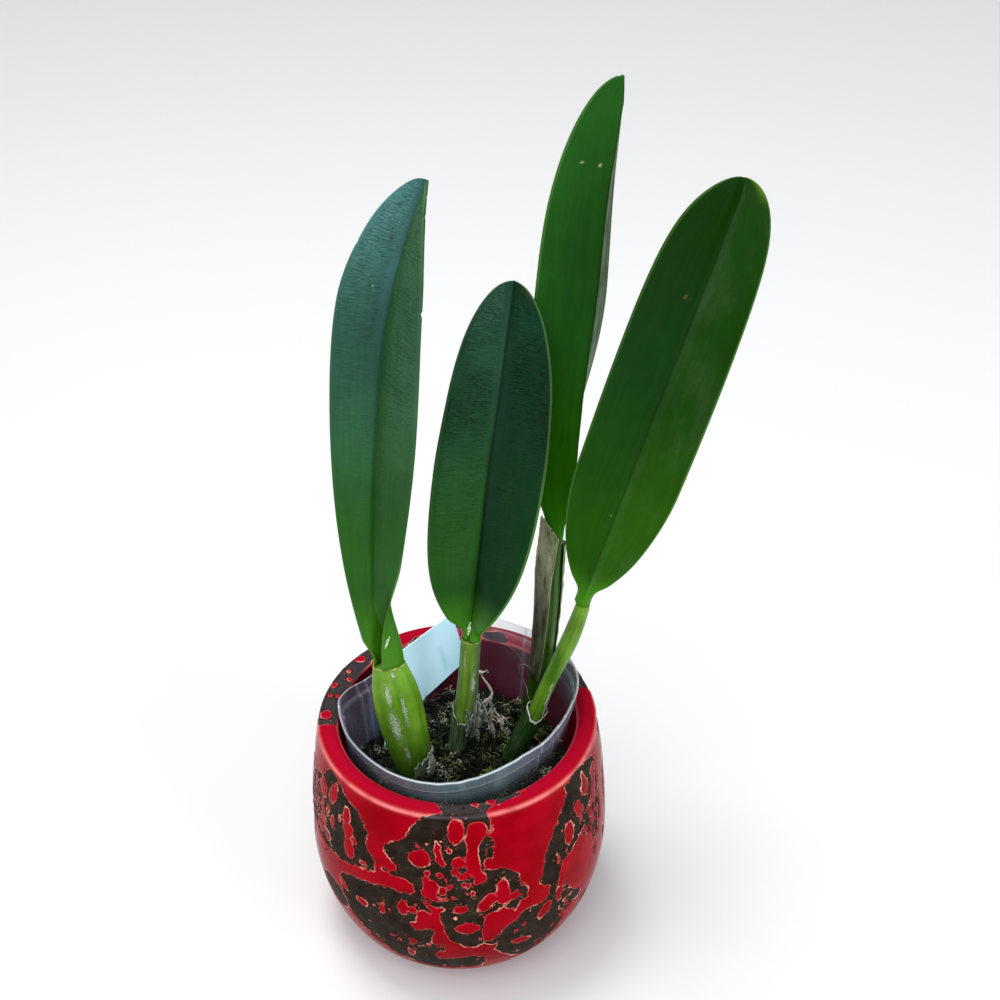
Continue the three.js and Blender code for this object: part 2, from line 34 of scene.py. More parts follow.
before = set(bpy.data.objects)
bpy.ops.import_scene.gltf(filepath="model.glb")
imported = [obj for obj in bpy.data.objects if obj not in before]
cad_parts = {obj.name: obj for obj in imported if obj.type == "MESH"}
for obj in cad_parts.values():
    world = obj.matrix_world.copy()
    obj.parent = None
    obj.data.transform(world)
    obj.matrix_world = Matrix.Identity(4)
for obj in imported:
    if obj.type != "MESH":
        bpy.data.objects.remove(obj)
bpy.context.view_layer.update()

# The driving dimensions of the CAD part, in millimetres and degrees
CERAMIC_FOOT = 34.5
CERAMIC_FLOOR = 8
CERAMIC_OUTSIDE = [(37, 1), (46.7, 8), (54.2, 22), (57.9, 40), (57.7, 60), (55.5, 82), (53.1, 96.5)]
CERAMIC_RIM = [(53.1, 96.5), (52.9, 98.8), (51.4, 100), (49, 99.9), (46.9, 99.3), (45.7, 98.1), (45.7, 96.4)]
CERAMIC_INSIDE = [(45.7, 96.4), (48.6, 88), (51.2, 72), (52, 52), (50.2, 27), (45.5, 14.5), (39, 8.6),
                  (35, 8)]

GROW_RIM = [
    (-44.3, -5), (-38.5, -22), (-24, -37.5), (-4, -44), (17, -37.5), (36, -21.5), (45.5, 1), (42.5, 18),
    (27, 34), (8, 42.5), (-10, 34), (-33, 11.5), (-42.5, 2.5),
]
GROW = {"rim": 109.5, "slope_x": 0.045, "slope_y": 0.05, "base": 8.3, "half": 30, "turn": 48, "wall": 0.8,
        "step": 0.8}
GROW_CREASES = (-174, 171, 166, -19, -27, -40, 52, 118)  # the azimuths of its upright creases

MIX_TOP = 76
MIX_LUMPS = 1.1
# The mix's side below its top: share of the height, distance inwards and lift
MIX_SIDES = [(0, 5.2, 1.4), (0.05, 1.8, 1), (0.35, 1.3, 0), (0.7, 1.3, 0), (0.96, 1.3, 0)]
# Moss: its sprig's name, leaflets, length and seed, then sprigs on a square millimetre, sizes, tilt and seed
MOSSES = {
    "moss_short": (("moss_sprig_a", 6, 2.9, 1), 0.85, (0.6, 1.5), 0.7, 4),
    "moss_tall": (("moss_sprig_b", 8, 4.4, 2), 0.35, (0.5, 1.25), 0.5, 9),
}
STRANDS, STRAND_KNOTS, STRAND_REACH = 170, 7, 36

STEMS = {
    "left": {
        "axis": [(-17.2, -9, 73), (-18, -8.6, 88), (-20.3, -8.8, 104), (-22.3, -8.8, 119),
                 (-24, -8, 131.1), (-25.2, -7.2, 141)],
        "wide": [4.8, 7.8, 9, 8.7, 6.2, 5.4], "deep": [3.2, 4.8, 5.5, 5.3, 4.4, 4],
        "furrows": 7, "furrow": 0.05, "top": (-24, -8, 131.1),
    },
    "centre": {
        "axis": [(-1.2, 3.4, 73), (0.6, 4.6, 87), (3.2, 5.5, 101), (4.5, 6, 116), (5.5, 6, 131.5),
                 (6.6, 6.2, 143)],
        "wide": [2.4, 2.9, 4.1, 3.8, 3.8, 3.4], "deep": [2.3, 2.8, 3.7, 3.6, 3.5, 3.2],
        "furrows": 6, "furrow": 0.05, "top": (5.5, 6, 131.3),
    },
    "right": {
        "axis": [(18.6, -1.6, 73), (23.4, -1.2, 85), (29.2, -1.6, 100), (34.7, -2, 118), (41.7, -2, 138),
                 (46, -2, 154.5), (48.3, -2.2, 166)],
        "wide": [2.4, 2.8, 3.1, 2.8, 3.2, 2.6, 2.3], "deep": [2.4, 2.8, 3.1, 2.8, 3.2, 2.6, 2.3],
        "furrows": 5, "furrow": 0.03, "top": (45.9, -2, 154.2),
    },
    "back": {
        "axis": [(25, 16.5, 73), (29.4, 17.4, 91), (32.4, 18.8, 110), (34, 20.3, 134), (34.6, 21.6, 152),
                 (35.5, 23, 165), (36.5, 24, 178)],
        "wide": [3.2, 3.7, 3.9, 4.2, 4.5, 4.2, 4], "deep": [3, 3.6, 3.8, 4, 4.2, 4, 3.8],
        "furrows": 7, "furrow": 0.05, "top": (35.5, 23, 165),
    },
}
# A leaf's shape where its own row says nothing else: how far each half wraps round the foot in degrees, how
# full each half's tip is, how pointed the right half's is, whether the foot is rolled up like a tube, and the
# nicks in its margins as side, share of the length and depth
PLAIN_LEAF = {"wrap": (90, 90), "tip_fullness": (1, 1), "tip_point": 0.5, "rolled": False, "nicks": []}
LEAVES = {
    "left": PLAIN_LEAF | {
        "midrib": [(-28.7, -8, 131.1), (-28, -5.5, 176.1), (-25.4, 1.4, 216.2), (-20.9, 8.4, 257.1),
                   (-14.3, 11.8, 284), (-6.6, 14.9, 305.7)],
        "facing": (-82, -104, -151), "fold": (26, 34, 31), "left": 16.6, "right": 18, "base": 2.2,
        "widest": 0.65, "lower": 2.17, "upper": 2.12, "neck_ends": (0.055, 0.2), "wrap": (84, 210),
        "rolled": True, "tip_fullness": (0.72, 1.2), "tip_point": 0.66,
        "nicks": [(1, 0.925, 0.9), (1, 0.69, 0.8), (-1, 0.78, 0.2)],
    },
    "centre": PLAIN_LEAF | {
        "midrib": [(5, 6, 131.5), (8, 8.6, 162.1), (11.7, 9.3, 199.5), (15.7, 11, 229.1),
                   (18.3, 11.7, 253), (20.6, 12.5, 272.9)],
        "facing": (-122, -76, -101), "fold": (46, 14, 6), "left": 19.7, "right": 19.7, "base": 2.7,
        "widest": 0.44, "lower": 3.56, "upper": 1.46, "neck_ends": (0.055, 0.055),
    },
    "right": PLAIN_LEAF | {
        "midrib": [(45.9, -2, 156.8), (50.8, -3.1, 177.1), (60.9, -4.8, 216.7), (70.1, -6.6, 253.4),
                   (79.2, -8.6, 290.4), (85.8, -8, 315.6)],
        "facing": (74, 81, 109), "fold": (26, 11, 7), "left": 17.9, "right": 18, "base": 2.3,
        "widest": 0.36, "lower": 1.08, "upper": 5.45, "neck_ends": (0.085, 0.085),
    },
    "back": PLAIN_LEAF | {
        "midrib": [(38.4, 25, 165.3), (41.1, 25.1, 195.1), (42.9, 23.9, 225.8), (45.7, 21.8, 259),
                   (47.6, 18.4, 298.2), (51.2, 12.9, 338.1)],
        "facing": (143, 129, 138), "fold": (69, 32, 36), "left": 13.3, "right": 20, "base": 3.5,
        "widest": 0.4, "lower": 1.92, "upper": 3.97, "neck_ends": (0.12, 0.12),
    },
}
LEAF_MIDDLE, LEAF_MARGIN, LEAF_KEEL = 2, 1.1, 0.7
LEAF_CUP = 0.125  # radians that a half curls back down by its margin
ROLLED_WALL = 1.3
LEAF_CLEARANCE = 0.1  # how far a leaf's foot stands out from its stem's end

SHEATHS = {
    "back": {"from": 0.28, "top": 0.8, "peak": 0.96, "peak_at": 202, "low": 0.84, "arc": (-28, 293),
             "slit": 60, "gap": 0.6, "spread": 78},
    "centre": {"from": 0.06, "top": 0.36, "peak": 0.43, "peak_at": 20, "low": 0.27, "arc": (-104, 254),
               "slit": 4, "gap": 0.45, "spread": 42},
    "right": {"from": 0.06, "top": 0.37, "peak": 0.37, "peak_at": 45, "low": 0.335, "arc": (-94, 267),
              "slit": 0, "gap": 0.45, "spread": 42},
    "left": {"from": 0.06, "top": 0.17, "peak": 0.21, "peak_at": -20, "low": 0.14, "arc": (-78, 34),
             "slit": 0, "gap": 0.5, "spread": 42},
}
RHIZOME = [(-25, -12, 70), (-17.2, -9, 70.4), (-1.2, 3.4, 70.2), (18.6, -1, 70.2), (25, 16.5, 70.2),
           (26, 23, 70.6)]
RHIZOME_RADII = [2.4, 3.6, 3.3, 3.3, 3.4, 1.6]
ROOT_STARTS = [(-22, -11, 69), (-16, -8, 69), (-7, -1, 69), (1, 4, 69), (10, 1, 69), (20, 0, 69),
               (24, 15, 69)]

LABEL_CORNER = (-15.1, 18.9, 88.5)
LABEL_ALONG = (0.745, 0.667)
LABEL_LEAN = 0.14
LABEL_THICKNESS = 0.5
LABEL_CORNERS = 0.8
LABEL_OUTLINE = [(-18, -20), (1, 0.2), (24.5, 6.4), (19.8, 30.9), (-13.5, 25.2), (-18.5, 2), (-20.5, -17)]

DRIED_ROOT = [
    ([(13.4, 12.4, 72), (12.8, 11.8, 84), (12.8, 13, 94), (13.1, 14, 99.4), (10.6, 15.6, 105.2)],
     [0.7, 0.9, 1, 1.1, 0.9]),
    ([(12.9, 13.2, 96), (9.4, 12.2, 92), (7.2, 11.4, 86)], [0.9, 0.7, 0.45]),
    ([(12.8, 11.9, 87), (16, 12.4, 84.5), (17.4, 12.2, 80.5)], [0.8, 0.6, 0.45]),
]
DRIED_KNOB = (10.2, 15.9, 105.8)

# How finely things are meshed: points round the pots and the mix, rings over the mix's top, and how far apart
# the ceramic pot's rings lie on its wall, its rim and its inside, in millimetres
CERAMIC_COLUMNS, GROW_COLUMNS, MIX_COLUMNS, MIX_RINGS = 470, 760, 150, 42
WALL_SPACING, RIM_SPACING, INSIDE_SPACING = 0.76, 0.45, 5
# Rows, then columns: those of a leaf for one half of one side
BULB_MESH, LEAF_MESH, SHEATH_MESH, SCRAP_MESH = (190, 96), (250, 30), (90, 140), (40, 12)

# The photograph's view, in metres and degrees
VIEW_PLACE = (0.0162, -0.3841, 0.4624)
VIEW_DOWN = 34.57
VIEW_WIDTH = 40
SENSOR = 36


# Plain sums
def smooth_curve(points, share, closed=False):
    """The smooth curve through points at shares of its length, carried on straight below 0"""
    knots = np.asarray(points, float)
    if knots.ndim == 1:
        knots = knots[:, None]
    share = np.asarray(share, float)
    if closed:
        step = (share % 1) * len(knots)
        first = np.floor(step).astype(int)
        before, start, end, after = (knots[(first + k) % len(knots)] for k in (-1, 0, 1, 2))
    else:
        spans = len(knots) - 1
        step = np.clip(share, 0, 1) * spans
        first = np.minimum(step.astype(int), spans - 1)
        longer = np.vstack([2 * knots[0] - knots[1], knots, 2 * knots[-1] - knots[-2]])
        before, start, end, after = (longer[first + k] for k in range(4))
    part = (step - first)[..., None]
    leave, arrive = (end - before) / 2, (after - start) / 2
    bend = (2 * start - 2 * end + leave + arrive) * part + (3 * end - 3 * start - 2 * leave - arrive)
    found = (bend * part + leave) * part + start
    if closed:
        return found
    return found + np.minimum(share, 0)[..., None] * (knots[1] - knots[0]) * spans


def unit(vectors):
    """Vectors of the same direction, one long"""
    return vectors / np.linalg.norm(vectors, axis=-1, keepdims=True)


def curve_way(points, share):
    """The direction in which a smooth curve runs at shares of its length"""
    near = 1e-4
    share = np.clip(share, near, 1 - near)
    return unit(smooth_curve(points, share + near) - smooth_curve(points, share - near))


def along(values, share):
    """A value that runs smoothly through the given ones, at shares of the way"""
    return smooth_curve(values, np.clip(share, 0, 1))[..., 0]


def dot(a, b):
    """How far one vector reaches along another"""
    return np.sum(a * b, axis=-1, keepdims=True)


def ease(value, low, high):
    """0 below low and 1 above high, with a smooth way between"""
    part = np.clip((value - low) / (high - low), 0, 1)
    return part * part * (3 - 2 * part)


def hump(value, width):
    """1 at 0, and falling smoothly to 0 on both sides"""
    return np.exp(-((value / width) ** 2))


def turn_from(start, end):
    """The turn in degrees from one azimuth to another, between -180 and 180"""
    return (end - start + 180) % 360 - 180


def three_way(values, share):
    """A value at the base, the middle and the tip, with the bend at the middle rounded"""
    low, middle, high = values
    rounding = 0.12
    past = share - 0.5
    ramp = np.where(np.abs(past) < rounding, (past + rounding) ** 2 / (4 * rounding), np.maximum(past, 0))
    return low + 2 * (middle - low) * share + 2 * (high - 2 * middle + low) * ramp


def ripple(seed, *places):
    """A smooth random value, mostly between -1 and 1, over places given in wavelengths"""
    random = np.random.default_rng(seed)
    total, waves = 0, 7
    for _ in range(waves):
        pitches = random.normal(size=len(places)) * 4
        total = total + np.sin(sum(p * q for p, q in zip(places, pitches)) + random.uniform(0, 2 * math.pi))
    return total / math.sqrt(waves)


def name_seed(name):
    """A fixed seed from a name's letters"""
    return sum(ord(letter) for letter in name)


# Meshes
def put_in_scene(name, data):
    """A new object of a mesh, curve, light or camera"""
    thing = bpy.data.objects.new(name, data)
    bpy.context.scene.collection.objects.link(thing)
    return thing


def add_piece(name, points, faces):
    """A new smooth mesh object, from points in millimetres"""
    mesh = bpy.data.meshes.new(name)
    mesh.from_pydata((np.asarray(points, float).reshape(-1, 3) * MM).tolist(), [], faces)
    mesh.shade_smooth()
    return put_in_scene(name, mesh)


def loft_faces(rows, columns, start_cap=True):
    """Faces over rows of closed rings, anticlockwise when looked at against the way the rows run"""
    faces = []
    for row in range(rows - 1):
        base = row * columns
        for j in range(columns):
            k = (j + 1) % columns
            faces.append((base + j, base + k, base + columns + k, base + columns + j))
    if start_cap:
        faces.append(tuple(range(columns - 1, -1, -1)))
    last = (rows - 1) * columns
    faces.append(tuple(range(last, last + columns)))
    return faces


def there_and_back(rows):
    """Rows of values for a sheet's face, carried on in reverse over its back"""
    return np.concatenate([rows, rows[:, ::-1]], 1)


def note(piece, name, values):
    """Keeps a number for each point of a piece, for its material to read"""
    kept = piece.data.attributes.new(name, "FLOAT", "POINT")
    kept.data.foreach_set("value", np.asarray(values, np.float32).ravel())


def lay_map(piece, across, lengthwise):
    """A UV map in centimetres, from two distances in millimetres for each point"""
    corners = np.zeros(len(piece.data.loops), np.int32)
    piece.data.loops.foreach_get("vertex_index", corners)
    pairs = np.stack([np.ravel(across)[corners], np.ravel(lengthwise)[corners]], 1) / 10
    piece.data.uv_layers.new(name="surface").data.foreach_set("uv", pairs.astype(np.float32).ravel())


def finish_piece(piece, finish, slot, *nodes):
    """Gives a piece its finish and body, and hides the CAD parts that it stands for. The slot is not used."""
    if finish:
        piece.data.materials.append(finish)
    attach(piece, "root")
    if nodes:
        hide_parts(*nodes)


# Node trees
class Wiring:
    """Adds nodes to one tree. Any input takes a plain value or another node's output."""

    def __init__(self, tree):
        self.tree = tree

    def add(self, kind, feeds=None, **settings):
        """A new node with its settings, and what feeds its inputs"""
        node = self.tree.nodes.new(kind)
        for name, value in settings.items():
            setattr(node, name, value)
        for name, value in (feeds or {}).items():
            self.feed(node.inputs[name], value)
        return node

    def feed(self, socket, value):
        if isinstance(value, bpy.types.NodeSocket):
            self.tree.links.new(value, socket)
        else:
            socket.default_value = value

    def sum(self, operation, *values, clamp=False):
        node = self.add("ShaderNodeMath", dict(enumerate(values)), operation=operation, use_clamp=clamp)
        return node.outputs[0]

    def times(self, product, *others):
        for other in others:
            product = self.sum("MULTIPLY", product, other)
        return product

    def plus(self, total, *others):
        for other in others:
            total = self.sum("ADD", total, other)
        return total

    def minus(self, value, less):
        return self.sum("SUBTRACT", value, less)

    def rest(self, value):
        """What is left of 1"""
        return self.minus(1.0, value)

    def ease(self, value, low, high, start=0.0, end=1.0):
        """From start below low to end above high, with a smooth way between"""
        feeds = {"Value": value, "From Min": low, "From Max": high, "To Min": start, "To Max": end}
        return self.add("ShaderNodeMapRange", feeds, interpolation_type="SMOOTHSTEP").outputs[0]

    def blend(self, share, low, high):
        """A colour between two"""
        feeds = {0: share, 6: low, 7: high}
        return self.add("ShaderNodeMix", feeds, data_type="RGBA").outputs[2]

    def scale(self, colour, amount):
        return self.add("ShaderNodeVectorMath", {0: colour, "Scale": amount}, operation="SCALE").outputs[0]

    def noise(self, place, scale, detail=2.0, roughness=0.5, distortion=0.0):
        feeds = {"Vector": place, "Scale": scale, "Detail": detail, "Roughness": roughness,
                 "Distortion": distortion}
        return self.add("ShaderNodeTexNoise", feeds).outputs[0]

    def cells(self, place, scale):
        return self.add("ShaderNodeTexVoronoi", {"Vector": place, "Scale": scale})

    def stretch(self, place, factors):
        feeds = {0: place, 1: factors}
        return self.add("ShaderNodeVectorMath", feeds, operation="MULTIPLY").outputs[0]

    def group(self, tree, **feeds):
        """A shared effect, with its inputs named in small letters"""
        named = {name.capitalize(): value for name, value in feeds.items()}
        return self.add("ShaderNodeGroup", named, node_tree=tree).outputs

    def mottled(self, place, scale, low, high, contrast=0.15):
        """Two colours in soft clouds"""
        return self.group(MOTTLE, place=place, scale=scale, low=low, high=high, contrast=contrast)["Colour"]

    def read(self, name):
        """A number kept for each point of the piece"""
        return self.add("ShaderNodeAttribute", attribute_name=name).outputs["Fac"]

    def kept(self, name):
        """The same, in a geometry node tree"""
        feeds = {"Name": name}
        return self.add("GeometryNodeInputNamedAttribute", feeds, data_type="FLOAT").outputs[0]

    def bump(self, height, distance):
        return self.add("ShaderNodeBump", {"Height": height, "Distance": distance * MM}).outputs[0]


def rgb(red, green, blue):
    """A colour as it looks on a screen, from 0 to 255"""
    def straight(part):
        part = part / 255
        return part / 12.92 if part <= 0.04045 else ((part + 0.055) / 1.055) ** 2.4

    return (straight(red), straight(green), straight(blue), 1.0)


SOCKETS = {
    "number": "NodeSocketFloat", "colour": "NodeSocketColor", "place": "NodeSocketVector",
    "count": "NodeSocketInt", "object": "NodeSocketObject", "material": "NodeSocketMaterial",
    "geometry": "NodeSocketGeometry",
}


def new_tree(kind, name, inputs, outputs):
    """A node tree with named inputs and outputs. An input may have a value of its own."""
    tree = bpy.data.node_groups.new(name, kind)
    for label, sort, *value in inputs:
        socket = tree.interface.new_socket(label, in_out="INPUT", socket_type=SOCKETS[sort])
        if value:
            socket.default_value = value[0]
    for label, sort in outputs:
        tree.interface.new_socket(label, in_out="OUTPUT", socket_type=SOCKETS[sort])
    wiring = Wiring(tree)
    return tree, wiring, wiring.add("NodeGroupInput").outputs, wiring.add("NodeGroupOutput").inputs


def mottle_group():
    """Two colours in soft clouds"""
    tree, w, given, out = new_tree(
        "ShaderNodeTree", "mottle",
        [("Place", "place"), ("Scale", "number"), ("Low", "colour"), ("High", "colour"),
         ("Contrast", "number", 0.15)],
        [("Colour", "colour"), ("Share", "number")])
    cloud = w.noise(given["Place"], given["Scale"], detail=4.0, roughness=0.55)
    share = w.ease(cloud, w.minus(0.5, given["Contrast"]), w.plus(0.5, given["Contrast"]))
    w.feed(out["Colour"], w.blend(share, given["Low"], given["High"]))
    w.feed(out["Share"], share)
    return tree


def specks_group():
    """Small scattered specks"""
    tree, w, given, out = new_tree(
        "ShaderNodeTree", "specks",
        [("Place", "place"), ("Scale", "number"), ("Size", "number"), ("Rarity", "number")],
        [("Mask", "number")])
    cells = w.cells(given["Place"], given["Scale"])
    speck = w.ease(cells.outputs["Distance"], given["Size"], w.times(given["Size"], 0.5))
    picked = w.add("ShaderNodeSeparateColor", {0: cells.outputs["Color"]}).outputs[0]
    w.feed(out["Mask"], w.times(speck, w.sum("GREATER_THAN", picked, given["Rarity"])))
    return tree


def fibres_group():
    """Long thin lines that run lengthwise on a surface map"""
    tree, w, given, out = new_tree(
        "ShaderNodeTree", "fibres",
        [("Map", "place"), ("Fineness", "number"), ("Length", "number"), ("Waviness", "number", 0.3)],
        [("Height", "number"), ("Lines", "number")])
    scales = w.add("ShaderNodeCombineXYZ", {0: given["Fineness"], 1: given["Length"], 2: 1.0}).outputs[0]
    chart = w.stretch(given["Map"], scales)
    height = w.noise(chart, 1.0, detail=5.0, roughness=0.6, distortion=given["Waviness"])
    w.feed(out["Height"], height)
    w.feed(out["Lines"], w.ease(height, 0.52, 0.6))
    return tree


MOTTLE = mottle_group()
SPECKS = specks_group()
FIBRES = fibres_group()


def new_finish(name, roughness, specular=0.2, tint=(1.0, 1.0, 1.0, 1.0)):
    """A material with its principled shader, whose constant values sit on its own sockets"""
    material = bpy.data.materials.new(name)
    material.use_nodes = True
    shader = next(n for n in material.node_tree.nodes if n.type == "BSDF_PRINCIPLED")
    values = {"Roughness": roughness, "Specular IOR Level": specular, "Specular Tint": tint}
    for socket, value in values.items():
        shader.inputs[socket].default_value = value
    wiring = Wiring(material.node_tree)
    place = wiring.add("ShaderNodeTexCoord").outputs["Object"]
    return material, shader.inputs, wiring, place


def grainy_finish(name, roughness, clouds, grain=None):
    """Soft clouds of two colours, and a grain: its stretch, scale, detail, coarseness and depth"""
    material, shader, w, place = new_finish(name, roughness)
    w.feed(shader["Base Color"], w.mottled(place, *clouds))
    if grain:
        stretch, scale, detail, coarseness, depth = grain
        height = w.noise(w.stretch(place, (1.0, 1.0, stretch)), scale, detail, coarseness)
        w.feed(shader["Normal"], w.bump(height, depth))
    return material


def surface_map(w):
    """The piece's own map, in centimetres"""
    return w.add("ShaderNodeUVMap", uv_map="surface").outputs[0]


# The ceramic pot's glaze, as azimuth in degrees and height on the unrolled wall in millimetres. Dark patches
# first, with outlines for those on the near side, then red shapes on them.
DARK_OUTLINES = [
    [(-102, 106), (-107, 99), (-109, 95), (-114, 91), (-117.5, 88), (-116.5, 85), (-112, 81), (-111.5, 77.5),
     (-115, 76.8), (-118, 78.5), (-118, 75.5), (-108.5, 75.8), (-105, 73), (-104.5, 70), (-107, 68.5),
     (-116, 68), (-121.5, 66.5), (-130, 65), (-138, 61), (-140, 57.5), (-138, 50), (-136, 43), (-131, 36),
     (-124, 30), (-114, 24), (-104, 20), (-92, 18.5), (-80, 20), (-78.3, 25), (-79, 31), (-79.5, 37),
     (-80, 43), (-80.3, 50), (-80.3, 58),
     (-79, 60.5), (-76, 60.5), (-73, 61.5), (-71, 61), (-68.5, 60), (-67.8, 58.5), (-66, 62.3), (-63.1, 63.6),
     (-62.5, 68.6), (-65.8, 71.5), (-66.5, 75.7), (-69.6, 78.5), (-72.7, 81), (-75, 80.6), (-77.5, 80.4),
     (-79.5, 84), (-78.8, 86), (-76.6, 87), (-76, 89), (-74.6, 91.5), (-75.5, 94), (-76.5, 97),
     (-75.5, 101), (-77.5, 105.5), (-79, 107.5), (-84, 109), (-94, 109), (-94.5, 107.3), (-98, 106.3)],
    [(-99, 119), (-98, 113), (-96, 110), (-94, 107.4), (-88, 106), (-80, 107), (-75, 108.5), (-72, 109),
     (-68, 109.5), (-64, 110), (-60, 111.5), (-55, 112), (-51, 114), (-49, 119)],
    [(-150, 104.5), (-147, 103.5), (-141, 101.8), (-138, 99), (-134.5, 98), (-130.5, 97), (-127, 93),
     (-124.5, 89), (-125.5, 84), (-124.5, 81.5), (-121.5, 79), (-121.5, 74), (-127, 72), (-130.5, 70.5),
     (-136, 68.5), (-143, 67), (-152, 66), (-162, 68), (-172, 72), (-172, 82), (-163, 87), (-157, 95),
     (-152, 101)],
    [(-38, 105.5), (-38.6, 103), (-41.5, 104), (-41.8, 99), (-43.5, 96.5), (-45.5, 95), (-47, 92.5),
     (-46.5, 89.5), (-49.5, 89), (-50, 86), (-53, 83), (-54.8, 77), (-56.5, 70.5), (-57, 66.5), (-55.5, 64.5),
     (-52, 62.5), (-49, 62.5), (-48.8, 66), (-45.5, 69.8), (-42, 72.8), (-39.5, 74), (-36, 77), (-31, 81),
     (-28.5, 84.5), (-26, 86.5), (-24.5, 90), (-23, 93.5), (-23.5, 96.5), (-21.5, 98.8), (-18, 98),
     (-17, 97), (-20, 101.5), (-23, 103.5), (-27, 104.6), (-33, 105.4)],
    [(-52, 63), (-53.7, 59), (-56, 57), (-59.5, 56.3), (-63.3, 56.8), (-65.6, 54.7), (-67.9, 51.9),
     (-70.9, 50), (-73.4, 47), (-75.6, 44.5), (-78, 43.3), (-80, 43), (-80, 41.5), (-76.4, 40.2),
     (-74.5, 40.6), (-75, 36), (-72.5, 32), (-66, 24), (-60, 20), (-52, 22), (-46, 30), (-43, 37), (-46, 42),
     (-48, 46), (-49.5, 50), (-50, 56), (-49, 61)],
    [(-172, 119), (-172, 106), (-180, 103.5), (-195, 103), (-208, 105), (-216, 110), (-218, 119)],
    [(124, 119), (120, 114.5), (114, 112.5), (108, 110.5), (103, 109), (99, 112), (97, 119)],
    [(80, 119), (78, 110), (70, 109), (66, 112), (65, 119)],
]
# Ovals: azimuth, height, half width, half height and lean to the side
DARK_PATCHES = [
    (-30, 78, 3, 6, -10), (-24, 68, 1.4, 9, 6), (-46, 49, 6, 6, 10), (-39, 45, 4, 3, 20),
    (-19, 86, 1.4, 8, 0), (-146, 44, 9, 7, 0), (-1, 102, 4, 3.4, 0), (-172, 62, 9, 10, 0),
    (-9, 76, 1.6, 9, 8), (-13, 56, 1.4, 6, -8), (-24, 34, 8, 3, 10), (7, 84, 5, 8, 10), (4, 50, 7, 6, -20),
    (13, 28, 6, 8, 0),
]
RED_OUTLINES = [
    [(-102.4, 61.5), (-100.8, 61.4), (-99, 59.6), (-98.9, 61.6), (-99.8, 64), (-101.3, 67.5), (-98.5, 64.8),
     (-96, 65), (-94.4, 64.3), (-93, 63.4), (-94, 62), (-95.4, 60.6), (-95.8, 59), (-95.1, 56),
     (-94, 53.6), (-93.8, 50.6), (-93, 47.3), (-91, 44.6), (-88, 42.6), (-86.6, 40.9), (-83.7, 40.3),
     (-81, 41.5), (-79.8, 42.8), (-77.5, 40.6), (-75.7, 39), (-75, 35.5), (-72.5, 32), (-68, 27),
     (-72, 25), (-78.5, 26), (-79, 31), (-83.6, 33.2), (-89.7, 31.8), (-96.6, 30.5), (-99, 33.2),
     (-97.7, 36), (-94.8, 37.8), (-94.6, 42.2), (-97.5, 41.5), (-99.4, 43.3), (-99.2, 46.5), (-97.9, 49),
     (-98.7, 51), (-100.3, 51.7), (-102.6, 50), (-105.4, 49.7), (-106.6, 51.5), (-107.5, 53.3),
     (-105, 54), (-104.5, 59.5)],
    [(-84.5, 103), (-81, 104), (-77.5, 102), (-77, 98), (-79.5, 95), (-81, 92), (-80.5, 87), (-80, 81),
     (-78.4, 79.5), (-78.2, 77.5), (-80, 75.2), (-83, 75), (-84.5, 79), (-86.5, 84.5), (-86, 88.5),
     (-85.2, 93), (-86, 96)],
    [(-107.5, 86), (-106, 89.5), (-101.5, 91.5), (-99, 89), (-99, 84), (-102, 82.3), (-105.5, 82.8)],
    [(-97.5, 95.5), (-96, 96.5), (-95, 93), (-94.5, 90), (-93, 84.5), (-94.5, 83.7), (-97, 86.5),
     (-97.5, 90)],
    [(-31, 102), (-29.7, 103), (-28.6, 99), (-26.6, 96), (-26.5, 92), (-29, 90.3), (-32.5, 92),
     (-32.6, 95.5), (-31, 98.5)],
    [(-83.2, 112.8), (-80, 113), (-79.5, 110.5), (-80.3, 108.6), (-81.3, 109.6), (-82.8, 111.3)],
    [(-76.5, 112.5), (-74, 113.6), (-71.5, 112.5), (-72.5, 110), (-71.5, 108), (-70, 106.5), (-75.5, 106.5),
     (-74, 108.5), (-75.5, 110.5)],
    [(-69, 107), (-68.5, 110.5), (-66.8, 109.3), (-64.5, 109), (-64, 106)],
]
